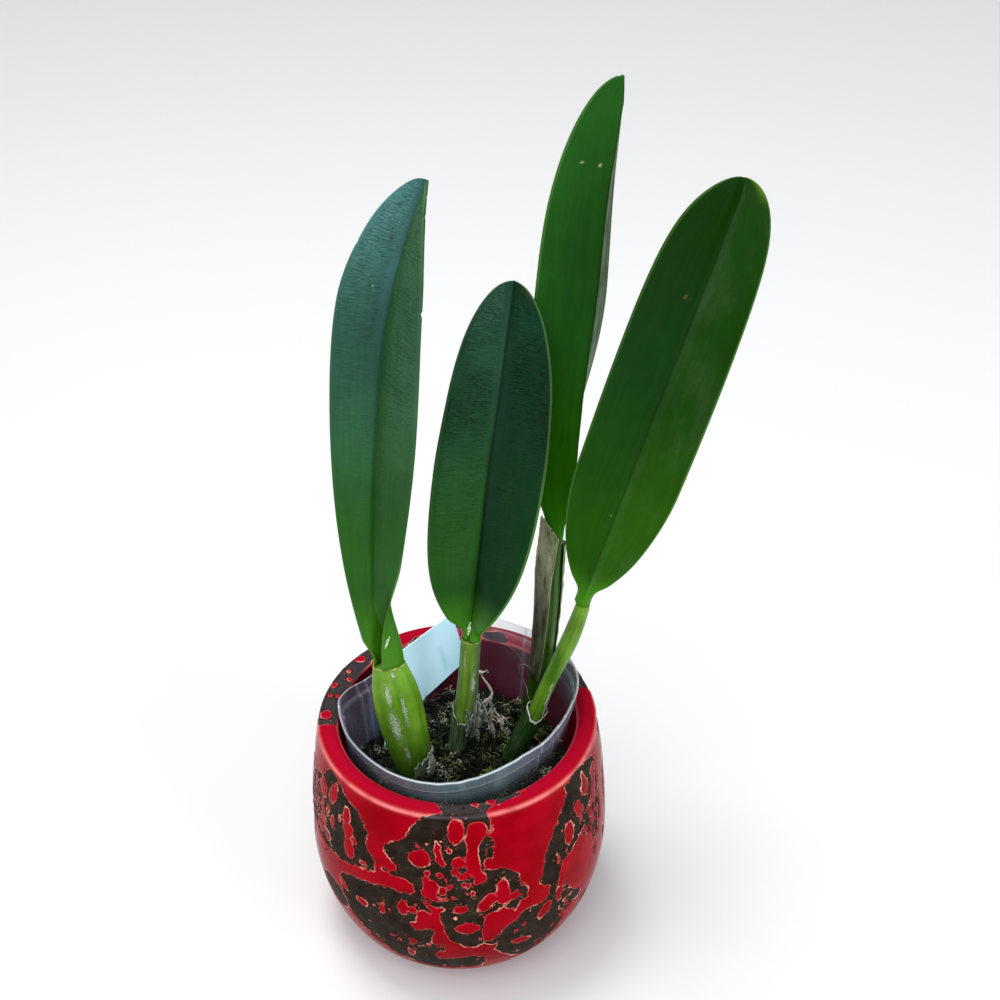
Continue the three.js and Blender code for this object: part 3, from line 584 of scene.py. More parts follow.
RED_DROPS = [
    (-146, 94, 2.6, 5, 15), (-144, 99, 1.2, 2, -20), (-136, 91, 2.2, 4.5, 0), (-135, 85, 2.8, 4, 10),
    (-145, 82, 1.4, 3, 0), (-134, 77, 2.8, 5.2, -8), (-127, 74.5, 2, 1.2, 0), (-155, 90, 4, 6, 20),
    (-154, 80, 2.4, 5, 0), (-162, 78, 3, 6, 0), (-148, 72, 2, 3, 0), (-155, 71, 3, 2.4, 0),
    (-89.2, 100, 3.1, 6, 4), (-91.7, 91.5, 1.4, 1.4, 0), (-88.5, 85.5, 2.6, 3.4, 20),
    (-100, 80.5, 1.3, 1.3, 0), (-95.5, 79.7, 1.7, 1.5, 0), (-91, 78.3, 3.4, 1.7, -10),
    (-99, 72.5, 3.2, 5, 12), (-100.5, 77, 1.4, 2.4, 0),
    (-94.5, 72.2, 1.6, 2.4, 0), (-85.3, 75, 1.1, 2, 15), (-88.2, 63, 2.7, 2.3, 0), (-85.6, 52.6, 4.6, 3.1, 4),
    (-72.3, 68.5, 2.9, 7.4, 0), (-78.3, 65.4, 2.9, 5.4, 38), (-109.6, 60.3, 2.4, 4.2, 0),
    (-106.2, 60.4, 2.4, 1.8, 0), (-127.5, 53.5, 3.3, 2.1, 0), (-118.3, 55.5, 1.3, 3.6, 0),
    (-137.5, 55.5, 1.5, 4, -35), (-107, 41.5, 1.7, 1.6, 0), (-108, 33.5, 1.6, 5, 8),
    (-100.8, 41.2, 1.3, 1.1, 0), (-115, 41.5, 1.2, 1, 0),
    (-55.3, 50.6, 2.5, 5, 30), (-64.6, 37.4, 4.3, 2.1, 20), (-45.3, 66, 2.6, 5, 12), (-42, 81.6, 2.7, 6, 0),
    (-35, 88, 2.3, 5, -24), (-33.5, 79.5, 1.2, 3, 0), (-77.5, 47.6, 2.4, 4.5, 0), (-48.4, 54, 1.5, 3.6, 0),
    (-59, 113.5, 2, 2, 20), (-154, 86, 1.4, 4, 0), (-149, 84, 1.2, 3.5, 10), (-158, 96, 1.2, 2.6, 0),
    (-151, 76, 1.6, 3.4, 0), (-140, 87, 1, 2, 0), (-131, 82, 1, 1.6, 0), (-166, 92, 1.4, 3, 0),
    (-159, 84, 1.4, 3.4, 0), (-167, 82, 1.2, 4, 0), (-96, 69, 1.1, 1, 0), (-92, 74, 1.2, 1.1, 0),
    (-68, 66, 1.8, 2.4, 20), (-48.4, 72.6, 0.9, 1.8, 0), (-83.5, 71, 1, 1.8, -20), (-63.8, 47.6, 0.7, 1.4, 0),
    (-100, 60, 1.4, 1, 0), (-93, 68, 0.9, 0.9, 0),
    (-178, 109, 2.4, 2.2, 0), (169, 111.5, 1.4, 1.1, 0),
    (163, 108, 1.5, 1.6, 0), (156, 112, 1.2, 1.1, 0),
]
# Where red and dark break up into crumbs
BUSY_ZONES = [
    (-166, 82, 14, 18, 0), (-150, 60, 8, 6, 0), (-98, 66, 6, 4, 0), (-65, 67, 3, 5, 0), (-33, 78, 5, 8, 20),
    (-45, 58, 5, 6, 0), (-122, 34, 12, 5, 0), (-24, 72, 8, 18, 0), (-44, 44, 6, 9, 0),
    (-106, 38, 6, 5, 0), (-54, 28, 10, 5, 0), (-75, 63, 5, 2.5, 0), (-77, 90, 3, 9, 0), (-88, 79, 6, 6, 0),
    (178, 70, 14, 18, 0), (24, 60, 16, 22, 0), (110, 60, 18, 20, 0),
]
GLAZE_RELIEF = 0.35
GLAZE_SHEEN = (1.0, 0.25, 0.32, 1.0)  # the colour of its highlights
# How far up the rim from the wall its painted highlight on the shoulder and its painted highlight line on the
# thin inner edge lie, in millimetres
RIM_SHOULDER = 2.6
RIM_BRIM = 10.2
RIM_GAP = -86  # the azimuth where the bright shoulder fades
# Where painted shade dulls the red, on the right wall, the left wall and the back of the rim: azimuth, width
# in degrees and strength
SHADED_PLACES = [(-8, 30, 1.0), (190, 24, 0.6), (58, 27, 1.0)]


def scattered_glaze():
    """Patches and drops for the pot's far side, in the manner of the near one"""
    random = np.random.default_rng(21)
    patches, drops = [], []
    for azimuth in range(24, 190, 17):
        for height in (24, 47, 71, 94):
            middle = azimuth + random.uniform(-7, 7)
            level = height + random.uniform(-8, 8)
            size = random.uniform(5, 12)
            if random.random() < 0.74:
                patches.append((middle, level, size, size * random.uniform(0.8, 1.7),
                                random.uniform(-40, 40)))
                for _ in range(random.integers(1, 5)):
                    small = random.uniform(1.2, 4)
                    drops.append((middle + random.uniform(-8, 8), level + random.uniform(-9, 9), small,
                                  small * random.uniform(0.7, 2.2), random.uniform(-25, 25)))
    return patches, drops


def depth_inside(azimuth, height, radius, ovals):
    """How deep a place lies inside the nearest of the ovals, in millimetres, negative outside them all"""
    deepest = np.full(np.shape(azimuth), -60.0)
    for middle, level, half_width, half_height, lean in ovals:
        arc = np.radians(turn_from(middle, azimuth)) * radius
        rise = height - level
        lean = math.radians(lean)
        sideways = arc * math.cos(lean) - rise * math.sin(lean)
        upright = arc * math.sin(lean) + rise * math.cos(lean)
        reach = np.hypot(sideways / half_width, upright / half_height)
        deepest = np.maximum(deepest, (1 - reach) * min(half_width, half_height))
    return deepest


def depth_in_outlines(azimuth, height, outlines):
    """How deep a place lies inside the nearest of the outlines, in millimetres, negative outside them all"""
    deepest = np.full(np.shape(azimuth), -60.0)
    for outline in outlines:
        corners = np.array(outline, float)
        middle = corners[:, 0].mean()
        x, y = turn_from(middle, azimuth), height
        starts = corners - (middle, 0)
        away, inside = np.full(x.shape, 1e9), np.zeros(x.shape, bool)
        for (x0, y0), (x1, y1) in zip(starts, np.roll(starts, -1, 0)):
            dx, dy = x1 - x0, y1 - y0
            part = np.clip(((x - x0) * dx + (y - y0) * dy) / (dx * dx + dy * dy), 0, 1)
            away = np.minimum(away, np.hypot(x - x0 - part * dx, y - y0 - part * dy))
            if dy:
                crossed = ((y0 <= y) != (y1 <= y)) & (x < x0 + (y - y0) * dx / dy)
                inside ^= crossed
        deepest = np.maximum(deepest, np.where(inside, away, -away))
    return deepest


def glaze_depth(w, patch, drop, busy, place):
    """How deep a place lies in a dark patch, in millimetres, for the relief and the colour alike"""
    def sway(scale, amount, detail=2.0):
        """Millimetres by which an edge wanders"""
        return w.times(w.minus(w.noise(place, scale, detail), 0.5), amount)

    patchy = w.plus(patch, sway(130.0, 3.0), sway(430.0, 3.0, 4.0))
    dropped = w.plus(w.times(drop, -1.0), sway(420.0, 2.2, 3.0))
    depth = w.sum("MINIMUM", patchy, dropped)
    calm = w.times(depth, w.rest(w.times(busy, 0.7)))
    depth = w.plus(calm, w.times(busy, sway(380.0, 15.0, 4.0)))
    for scale, reach, rarity in ((210.0, 0.22, 0.78), (430.0, 0.24, 0.84)):
        cells = w.cells(place, scale)
        skipped = w.sum("LESS_THAN", cells.outputs["Color"], rarity)
        ring = w.minus(w.plus(cells.outputs["Distance"], skipped), reach)
        droplet = w.plus(w.times(ring, 1000 / scale), sway(900.0, 0.8))
        depth = w.sum("MINIMUM", depth, droplet)
    return depth


def glaze_finish():
    """Glossy red glaze with pale edges over dark stony patches, with painted highlights and painted shade"""
    material, shader, w, place = new_finish("red_lava_glaze", 0.18, specular=0.02, tint=GLAZE_SHEEN)
    depth = glaze_depth(w, w.read("patch"), w.read("drop"), w.read("busy"), place)
    dark = w.ease(depth, -0.1, 0.1)
    # The pale line round the red shapes is the glaze's own paler edge, with a painted highlight on its raised
    # edge
    rim_line = w.times(w.ease(depth, -0.55, -0.2), w.rest(w.ease(depth, -0.1, 0.08)))
    paleness = w.ease(w.noise(place, 160.0, 2.0), 0.42, 0.66)
    line = w.times(rim_line, w.plus(0.25, w.times(paleness, 0.5)))
    red = w.mottled(place, 70.0, rgb(146, 0, 12), rgb(168, 0, 22))
    # On the rim the red turns crimson; towards the bottom of the pot painted shade darkens it
    red = w.scale(w.blend(w.read("lip"), red, rgb(176, 10, 40)), w.ease(w.read("low"), 0.0, 1.0, 1.0, 0.72))
    # Painted shade: a duller, darker red on the wall's sides and on the back of the rim
    shaded_red = w.mottled(w.stretch(place, (1.0, 1.0, 0.4)), 260.0, rgb(118, 24, 28), rgb(138, 36, 42))
    red = w.blend(w.times(w.read("dull"), 0.7), red, shaded_red)
    stone = w.mottled(place, 150.0, rgb(34, 24, 16), rgb(50, 42, 35), 0.2)
    # On the rim the dark patches turn grey, a painted sheen
    stone = w.blend(w.read("lip"), stone, rgb(66, 60, 62))
    mist = w.ease(w.noise(place, 1300.0, 3.0, 0.7), 0.35, 0.7, 0.75, 1.2)
    stone = w.scale(stone, mist)
    grit = w.group(SPECKS, place=place, scale=620.0, size=0.2, rarity=0.9)["Mask"]
    stone = w.blend(w.times(grit, 0.45), stone, rgb(120, 108, 96))
    brink = w.times(w.ease(depth, 0.9, 0.1), 0.7)
    stone = w.blend(brink, stone, rgb(38, 22, 10))
    edge = w.blend(paleness, rgb(212, 100, 100), rgb(238, 188, 162))
    flecks = w.ease(w.noise(place, 850.0, 3.0, 0.6), 0.6, 0.66)
    near_red = w.sum("ADD", w.ease(depth, 1.6, 0.3), w.times(w.read("busy"), 0.5), clamp=True)
    stone = w.blend(w.times(flecks, near_red, 0.6), stone, rgb(196, 120, 100))
    # Painted highlight on the rim's shoulder and inner edge: pinkish white on the red, broken up by noise,
    # and a painted grey sheen on the dark patches
    ridge = w.read("ridge")
    highlight_breakup = w.ease(w.noise(place, 120.0, 3.0), 0.3, 0.55, 0.55, 1.0)
    red = w.blend(w.times(ridge, highlight_breakup, 0.95), red, rgb(255, 140, 138))
    stone = w.blend(w.times(ridge, 0.6), stone, rgb(112, 106, 114))
    colour = w.blend(dark, w.blend(line, red, edge), stone)
    colour = w.blend(w.read("inside"), colour, rgb(140, 6, 36))
    foot = w.read("foot")
    colour = w.blend(foot, colour, rgb(196, 176, 150))
    w.feed(shader["Base Color"], colour)
    rough = w.plus(0.18, w.times(dark, 0.3))
    w.feed(shader["Roughness"], w.plus(rough, w.times(foot, 0.5)))
    pitted = w.times(w.noise(place, 1500.0, 3.0), w.ease(dark, 0.0, 1.0, 0.05, 0.5))
    w.feed(shader["Normal"], w.bump(pitted, 0.12))
    return material


def new_shape_tree(name, inputs):
    """A geometry node tree with named inputs, and its finished geometry wired to a material"""
    through = [("Geometry", "geometry")]
    tree, w, given, out = new_tree("GeometryNodeTree", name, through + inputs, through)

    def close(geometry):
        """Makes the copies real, gives them the material and ends the tree"""
        whole = w.add("GeometryNodeRealizeInstances", {0: geometry}).outputs[0]
        feeds = {"Geometry": whole, "Material": given["Material"]}
        w.feed(out[0], w.add("GeometryNodeSetMaterial", feeds).outputs[0])

    return tree, w, given, close


def grow(piece, tree, **values):
    """Runs a geometry node tree on a piece and keeps the result as its plain mesh"""
    modifier = piece.modifiers.new(tree.name, "NODES")
    modifier.node_group = tree
    sockets = {s.name: s.identifier for s in tree.interface.items_tree if s.in_out == "INPUT"}
    for name, value in values.items():
        modifier[sockets[name.capitalize()]] = value
    graph = bpy.context.evaluated_depsgraph_get()
    mesh = bpy.data.meshes.new_from_object(piece.evaluated_get(graph))
    name = piece.name
    bpy.data.objects.remove(piece)
    return put_in_scene(name, mesh)


def relief_tree():
    """Raises the red glaze over the dark patches"""
    tree, w, given, close = new_shape_tree("glaze relief", [("Relief", "number"), ("Material", "material")])
    place = w.add("GeometryNodeInputPosition").outputs[0]
    depth = glaze_depth(w, w.kept("patch"), w.kept("drop"), w.kept("busy"), place)
    raised = w.times(w.ease(depth, 0.3, -0.7), w.rest(w.kept("inside")))
    amount = w.times(raised, given["Relief"], w.rest(w.kept("foot")))
    normal = w.add("GeometryNodeInputNormal").outputs[0]
    feeds = {"Geometry": given["Geometry"], "Offset": w.scale(normal, amount)}
    close(w.add("GeometryNodeSetPosition", feeds).outputs[0])
    return tree


def spaced(profile, spacing):
    """Points at even spacing along a smooth profile, and their distances along it"""
    dense = smooth_curve(profile, np.linspace(0, 1, 60 * len(profile)))
    lengths = np.concatenate([[0], np.cumsum(np.linalg.norm(np.diff(dense, axis=0), axis=1))])
    places = np.linspace(0, lengths[-1], max(2, round(lengths[-1] / spacing)) + 1)
    return np.stack([np.interp(places, lengths, dense[:, i]) for i in (0, 1)], 1), places


def make_ceramic_pot():
    """The pot as rings from its foot up the wall, over the rim and down the inside"""
    around = CERAMIC_COLUMNS

    def all_round(values):
        return np.repeat(values[:, None], around, 1)

    wall, wall_heights = spaced(CERAMIC_OUTSIDE, WALL_SPACING)
    rim, rim_heights = spaced(CERAMIC_RIM, RIM_SPACING)
    inner, inner_heights = spaced(CERAMIC_INSIDE, INSIDE_SPACING)
    pole = 0.01
    body_top = wall_heights[-1]
    rim_top = body_top + rim_heights[-1]
    base = [(pole, 0), (CERAMIC_FOOT, 0)]
    profile = np.vstack([base, wall, rim[1:], inner[1:], [(pole, CERAMIC_FLOOR)]])
    heights = np.concatenate([[-40, -3], wall_heights, body_top + rim_heights[1:],
                              rim_top + inner_heights[1:], [rim_top + 150]])
    azimuth = np.arange(around) * 360 / around
    turn = np.radians(azimuth)
    radius = profile[:, :1] - 0.03 * (profile[:, :1] > 50)
    points = np.stack([radius * np.cos(turn), radius * np.sin(turn),
                       np.repeat(profile[:, 1:], around, 1)], 2)
    sheen = 0.05 * ripple(3, points[..., 0] / 60, points[..., 1] / 60, points[..., 2] / 40)
    outer = ease(heights, 2, 8) * (1 - ease(heights, rim_top, rim_top + 8))
    points[..., :2] *= (1 + (sheen - GLAZE_RELIEF) * outer[:, None] / 60)[..., None]
    piece = add_piece("glazed_pot", points, loft_faces(len(profile), around))
    far_patches, far_drops = scattered_glaze()
    where = np.broadcast_arrays(azimuth[None, :], heights[:, None])
    unrolled = np.maximum(profile[:, :1], 40)
    patch = np.maximum(depth_inside(*where, unrolled, DARK_PATCHES + far_patches),
                       depth_in_outlines(*where, DARK_OUTLINES))
    drop = np.maximum(depth_inside(*where, unrolled, RED_DROPS + far_drops),
                      depth_in_outlines(*where, RED_OUTLINES))
    busy = ease(depth_inside(*where, unrolled, BUSY_ZONES), -1, 4)
    inside = all_round(ease(heights, rim_top - 2.5, rim_top + 0.5))
    shoulder, brim = body_top + RIM_SHOULDER, body_top + RIM_BRIM
    # Where the painted highlight lies: along the rim's shoulder, weaker towards the back and fading at
    # RIM_GAP, and a thin line along the rim's inner edge
    lit = 0.45 + 0.55 * ease(np.abs(turn_from(RIM_GAP, azimuth)), 4, 16) * hump(turn_from(-90, azimuth), 95)
    ridge = hump(heights - shoulder, 0.62)[:, None] * lit + 0.5 * hump(heights - brim, 0.6)[:, None]
    lip = all_round(ease(heights, shoulder, shoulder + 3))
    note(piece, "patch", patch - 30 * inside)
    note(piece, "drop", drop)
    note(piece, "busy", busy * (1 - inside))
    note(piece, "inside", inside)
    note(piece, "ridge", ridge)
    note(piece, "lip", lip)
    note(piece, "foot", all_round(1 - ease(heights, 0.2, 1.6)))
    # How much painted shade darkens the red towards the bottom
    note(piece, "low", all_round(ease(heights, 75, 28)))
    # Painted shade that dulls the red on the wall's sides and on the back of the rim
    right, left, back = (much * hump(turn_from(at, azimuth), width) for at, width, much in SHADED_PLACES)
    on_the_sides, behind = np.maximum(right, left), back * lip
    note(piece, "dull", on_the_sides * ease(heights, body_top + 2, body_top - 4)[:, None] + behind)
    piece = grow(piece, relief_tree(), relief=GLAZE_RELIEF * MM, material=glaze_finish())
    finish_piece(piece, None, "glazed_ceramic", "ceramic_pot")


# The clear grow pot
def grow_outline(turn):
    """Azimuth, rim radius, base radius and rim height at places round the grow pot"""
    edge = smooth_curve([(x, y, 0) for x, y in GROW_RIM], turn, closed=True)
    azimuth = np.arctan2(edge[..., 1], edge[..., 0])
    square = azimuth - math.radians(GROW["turn"])
    corner = np.cos(square) ** 4 + np.sin(square) ** 4
    height = GROW["rim"] + GROW["slope_x"] * edge[..., 0] + GROW["slope_y"] * edge[..., 1]
    return azimuth, np.hypot(edge[..., 0], edge[..., 1]), GROW["half"] / corner ** 0.25, height


def grow_point(turn, share, outward):
    """A place on the grow pot's outer face at a share of its height, moved outwards"""
    azimuth, rim, base, height = grow_outline(turn)
    radius = base + (rim - GROW["step"] - base) * share + outward
    level = GROW["base"] + (height - GROW["base"]) * share
    return np.stack([radius * np.cos(azimuth), radius * np.sin(azimuth), level], -1)


def clear_finish():
    """Clear plastic, scuffed and hazy, whiter along its creases, with a painted highlight along its rim and
    step
    """
    material, shader, w, place = new_finish("clear_plastic", 0.2, specular=0.35)
    front, edge = w.read("front"), w.read("edge")
    cloud = w.group(MOTTLE, place=place, scale=45.0, low=rgb(124, 106, 138), high=rgb(146, 132, 160))
    streaks = w.ease(w.noise(w.stretch(place, (1.0, 1.0, 0.12)), 110.0, 2.0), 0.48, 0.66)
    tone = w.blend(w.times(streaks, 0.6), cloud["Colour"], rgb(84, 98, 116))
    tone = w.blend(front, tone, w.blend(streaks, rgb(100, 120, 126), rgb(124, 144, 148)))
    w.feed(shader["Base Color"], w.blend(edge, tone, rgb(222, 226, 230)))
    scuffs = w.noise(w.stretch(place, (1.0, 1.0, 0.15)), 900.0, 4.0, 0.7)
    cover = w.plus(w.times(cloud["Share"], 0.06), w.times(w.read("haze"), 0.74))
    cover = w.plus(cover, w.times(edge, 0.5))
    w.feed(shader["Alpha"], w.sum("ADD", 0.035, cover, clamp=True))
    w.feed(shader["Roughness"], w.ease(scuffs, 0.4, 0.7, 0.14, 0.34))
    w.feed(shader["Normal"], w.bump(scuffs, 0.05))
    return material


# The grow pot's profile: share of its height, distance outwards from its plain wall, and its painted
# highlight
GROW_PROFILE = [
    (0, -2.4, 0), (0.004, -0.8, 0), (0.02, -0.1, 0), (0.05, 0, 0), (0.3, 0, 0), (0.6, 0, 0), (0.8, 0, 0),
    (0.93, 0, 0), (0.941, 0.05, 0), (0.945, 0.4, 0.1), (0.949, 0.75, 1), (0.953, 0.8, 0.1), (0.96, 0.8, 0),
    (0.985, 0.8, 0), (0.992, 0.95, 0), (0.997, 1, 0.1), (1, 0.8, 0.85),
]


def make_grow_pot():
    """The thin clear pot, up its outside and down its inside, with creases and a wavy rim"""
    around, inner_floor = GROW_COLUMNS, 0.008
    turn = np.arange(around) / around
    levels = list(GROW_PROFILE)
    for share, out, shine in reversed(GROW_PROFILE[2:]):
        levels.append((max(share, inner_floor), out - GROW["wall"], shine * 0.3))
    levels += [(inner_floor, -3.4, 0), (inner_floor, -12, 0)]
    points = np.array([grow_point(turn, np.full(around, share), out) for share, out, _ in levels])
    share = np.array([level[0] for level in levels])[:, None]
    shine = np.array([level[2] for level in levels])[:, None]
    bearing = grow_outline(turn)[0]
    azimuth = np.degrees(bearing)[None, :]
    lean = 6 * (1 - share)
    creases = sum(hump(turn_from(at, azimuth + lean), 0.45) for at in GROW_CREASES)
    bowing = 0.35 * ripple(8, azimuth / 60, share * 1.5) * ease(share, 0.2, 0.8)
    shift = (bowing - 0.35 * creases * ease(share, 0.3, 0.6)) * (1 - ease(share, 0.93, 1))
    points = points + unit(points * (1, 1, 0) + (1e-9, 0, 0)) * shift[..., None]
    warp = 0.45 * ripple(9, np.cos(bearing) * 2, np.sin(bearing) * 2)
    warp = warp + 0.12 * ripple(10, np.cos(bearing) * 9, np.sin(bearing) * 9)
    points[..., 2] += warp * ease(share, 0.9, 1)
    piece = add_piece("clear_grow_pot", points, loft_faces(len(levels), around))
    right = 0.8 * hump(turn_from(8, azimuth), 36)
    front = np.maximum(hump(turn_from(-82, azimuth), 72), right) + 0 * share
    left = hump(turn_from(-178, azimuth), 45)
    # edge: a painted highlight along the rim and the step below it, stronger at the front, and whiter creases
    note(piece, "edge", np.clip(shine * (0.6 + 0.4 * front) + 0.5 * creases * ease(share, 0.35, 0.7), 0, 1))
    note(piece, "front", front)
    note(piece, "haze", np.maximum(front * ease(share, 0.78, 0.9), 0.62 * left * ease(share, 0.2, 0.6)))
    finish_piece(piece, clear_finish(), "clear_plastic", "grow_pot")


# The planting mix with its moss
def mix_height(x, y):
    """The height of the mix's lumpy top"""
    lump = np.sin(0.31 * x + 0.9) * np.cos(0.27 * y - 0.4) + 0.6 * np.sin(0.17 * x - 0.33 * y)
    return MIX_TOP + MIX_LUMPS * lump


def moss_finish():
    """Olive moss with pale tips, darker deep down by painted shade and lit in clusters by painted light"""
    material, shader, w, place = new_finish("olive_moss", 0.5)
    shade, tip = w.read("shade"), w.read("tip")
    # Painted shade makes the moss near black deep down, and painted light brightens its tips in lit clusters
    low = w.blend(shade, rgb(4, 7, 3), rgb(22, 30, 12))
    hue = w.ease(w.noise(place, 55.0, 2.0), 0.42, 0.58)
    lit = w.blend(hue, rgb(136, 148, 62), rgb(212, 224, 192))
    high = w.blend(w.ease(shade, 0.1, 0.7), rgb(16, 30, 12), lit)
    w.feed(shader["Base Color"], w.blend(w.ease(tip, 0.1, 1.0), low, high))
    w.feed(shader["Roughness"], w.ease(w.noise(place, 300.0), 0.3, 0.7, 0.5, 0.8))
    return material


def make_frond(name, leaflets, length, seed):
    """A sprig of moss: cupped leaflets in turn on each side of a bent stalk"""
    random = np.random.default_rng(seed)
    points, faces, tips = [], [], []
    lean = random.uniform(0.2, 0.7)
    for i in range(leaflets):
        share = (i + 0.6) / leaflets
        foot = np.array([lean * length * share ** 1.6, 0, length * share * (1 - 0.25 * share)])
        turn = i * 2.3 + random.uniform(-0.4, 0.4)
        reach = length * random.uniform(0.35, 0.75) * (1.15 - 0.6 * share)
        way = np.array([math.cos(turn), math.sin(turn), random.uniform(0.1, 1.1)])
        side = np.array([-math.sin(turn), math.cos(turn), 0.3]) * reach * 0.24
        middle = foot + way * reach * 0.5
        tip = foot + way * reach + np.array([0, 0, -0.35 * reach])
        start = len(points)
        points += [foot, middle + side, tip, middle - side, middle - np.array([0, 0, 0.16 * reach])]
        tips += [share * 0.5, share * 0.6 + 0.2, 1.0, share * 0.6 + 0.2, share * 0.4]
        faces += [(start + j, start + (j + 1) % 4, start + 4) for j in range(4)]
    frond = add_piece(name, points, faces)
    note(frond, "tip", tips)
    return frond


def moss_tree():
    """Sprigs scattered over a surface, each turned, tilted and sized at random"""
    tree, w, given, close = new_shape_tree("moss", [
        ("Sprig", "object"), ("Density", "number"), ("Smallest", "number"), ("Largest", "number"),
        ("Tilt", "number"), ("Seed", "count"), ("Material", "material")])
    density = w.times(given["Density"], w.kept("thickness"))
    feeds = {"Mesh": given["Geometry"], "Density": density, "Seed": given["Seed"]}
    spots = w.add("GeometryNodeDistributePointsOnFaces", feeds)

    def chance_number(low, high, salt):
        node = w.add("FunctionNodeRandomValue", data_type="FLOAT")
        floats = [s for s in node.inputs if s.type == "VALUE"]
        w.feed(floats[0], low)
        w.feed(floats[1], high)
        w.feed(next(s for s in node.inputs if s.name == "Seed"), salt)
        return next(o for o in node.outputs if o.type == "VALUE")

    where = w.add("GeometryNodeInputPosition").outputs[0]
    # Painted light: sprigs lit in clusters with dark hollows between, and a random tone for each sprig
    clusters = w.ease(w.noise(where, 240.0, 3.0), 0.42, 0.62)
    shade = w.times(clusters, w.sum("POWER", chance_number(0.1, 1.0, 3), 1.4))
    feeds = {"Geometry": spots.outputs["Points"], "Name": "shade", "Value": shade}
    kept = w.add("GeometryNodeStoreNamedAttribute", feeds, data_type="FLOAT", domain="POINT").outputs[0]
    tilt = w.add("ShaderNodeCombineXYZ", {
        0: w.times(chance_number(-1.0, 1.0, 5), given["Tilt"]),
        1: w.times(chance_number(-1.0, 1.0, 7), given["Tilt"]),
        2: chance_number(0.0, 2 * math.pi, 9)}).outputs[0]
    size = chance_number(given["Smallest"], given["Largest"], 11)
    sprig = w.add("GeometryNodeObjectInfo", {"Object": given["Sprig"], "As Instance": True})
    feeds = {"Points": kept, "Instance": sprig.outputs["Geometry"], "Rotation": tilt, "Scale": size}
    close(w.add("GeometryNodeInstanceOnPoints", feeds).outputs[0])
    return tree


def strand_tree():
    """Round strands along curves, thinner towards their ends"""
    tree, w, given, close = new_shape_tree("strands", [
        ("Thinning", "number"), ("Sides", "count"), ("Material", "material")])
    place = w.add("GeometryNodeSplineParameter").outputs["Factor"]
    thin = w.rest(w.times(given["Thinning"], w.sum("POWER", place, 2.0)))
    ring = w.add("GeometryNodeCurvePrimitiveCircle", {"Resolution": given["Sides"], "Radius": 1.0})
    radius = w.add("GeometryNodeInputRadius").outputs[0]
    curve = w.add("GeometryNodeSetCurveRadius",
                  {"Curve": given["Geometry"], "Radius": w.times(radius, thin)}).outputs[0]
    feeds = {"Curve": curve, "Profile Curve": ring.outputs["Curve"], "Fill Caps": True}
    node = w.add("GeometryNodeCurveToMesh", feeds)
    if "Scale" in node.inputs:  # not in older Blenders
        w.feed(node.inputs["Scale"], w.times(radius, thin))
    close(w.add("GeometryNodeSetShadeSmooth", {"Geometry": node.outputs[0]}).outputs[0])
    return tree


def add_curves(name, paths):
    """A curve object with one smooth run of points for each path of millimetre points and radii"""
    curve = bpy.data.curves.new(name, "CURVE")
    curve.dimensions = "3D"
    for points, radii in paths:
        spline = curve.splines.new("POLY")
        spline.points.add(len(points) - 1)
        for knot, point, radius in zip(spline.points, points, radii):
            knot.co = (*(np.asarray(point) * MM), 1)
            knot.radius = radius * MM
    return put_in_scene(name, curve)


def make_strand_piece(name, paths, sheets, look, slot, *nodes):
    """A piece of round strands; the look is how much they thin out, their sides and their finish"""
    thinning, sides, finish = look
    made = grow(add_curves(name, paths), sheets["strand_tree"], thinning=thinning, sides=sides,
                material=finish)
    finish_piece(made, None, slot, *nodes)


def mix_share(turn):
    """The share of the grow pot's height that the mix fills"""
    height = grow_outline(turn)[3]
    return (MIX_TOP - GROW["base"]) / (height - GROW["base"])


def surface_patch():
    """The mossy top, as rings of points from the wall to the middle"""
    turn = np.arange(MIX_COLUMNS) / MIX_COLUMNS
    rim = grow_point(turn, mix_share(turn), -GROW["wall"] - 0.5)
    shrink = 1 - np.arange(MIX_RINGS)[:, None] / (MIX_RINGS - 0.6)
    x, y = rim[:, 0] * shrink, rim[:, 1] * shrink
    bumps = 1.2 * ripple(31, x / 14, y / 14) + 0.9 * ripple(32, x / 6, y / 6) - 0.8
    low = ease(shrink, 0.9, 1.0)
    z = mix_height(x, y) + bumps * (1 - low) - 0.4 * low
    return np.stack([x, y, z], 2)


def make_mix(sheets):
    """The mix, and the two sorts of moss that grow on its top"""
    top = surface_patch()
    rows, around = top.shape[:2]
    turn = np.arange(around) / around
    sides = []
    for level, inward, lift in MIX_SIDES:
        ring = grow_point(turn, mix_share(turn) * level, -inward)
        ring[:, 2] += lift
        sides.append(ring)
    whole = np.vstack([np.array(sides), top])
    piece = add_piece("planting_mix_body", whole, loft_faces(len(whole), around))
    finish_piece(piece, sheets["mix"], "mossy_mix", "planting_mix")
    bed_faces = loft_faces(rows, around, start_cap=False)
    for name, (sprig, density, sizes, tilt, seed) in MOSSES.items():
        bed = add_piece(name, top, bed_faces)
        far = np.hypot(top[..., 0], top[..., 1])
        cover = 0.65 + 0.5 * ripple(seed, top[..., 0] / 16, top[..., 1] / 16)
        note(bed, "thickness", np.clip(cover, 0.25, 1) * (1 - ease(far, 38, 42) * 0.3))
        frond = make_frond(*sprig)
        made = grow(bed, sheets["moss_tree"], sprig=frond, density=density / MM ** 2, smallest=sizes[0],
                    largest=sizes[1], tilt=tilt, seed=seed, material=sheets["moss"])
        bpy.data.objects.remove(frond)
        finish_piece(made, None, "mossy_mix")


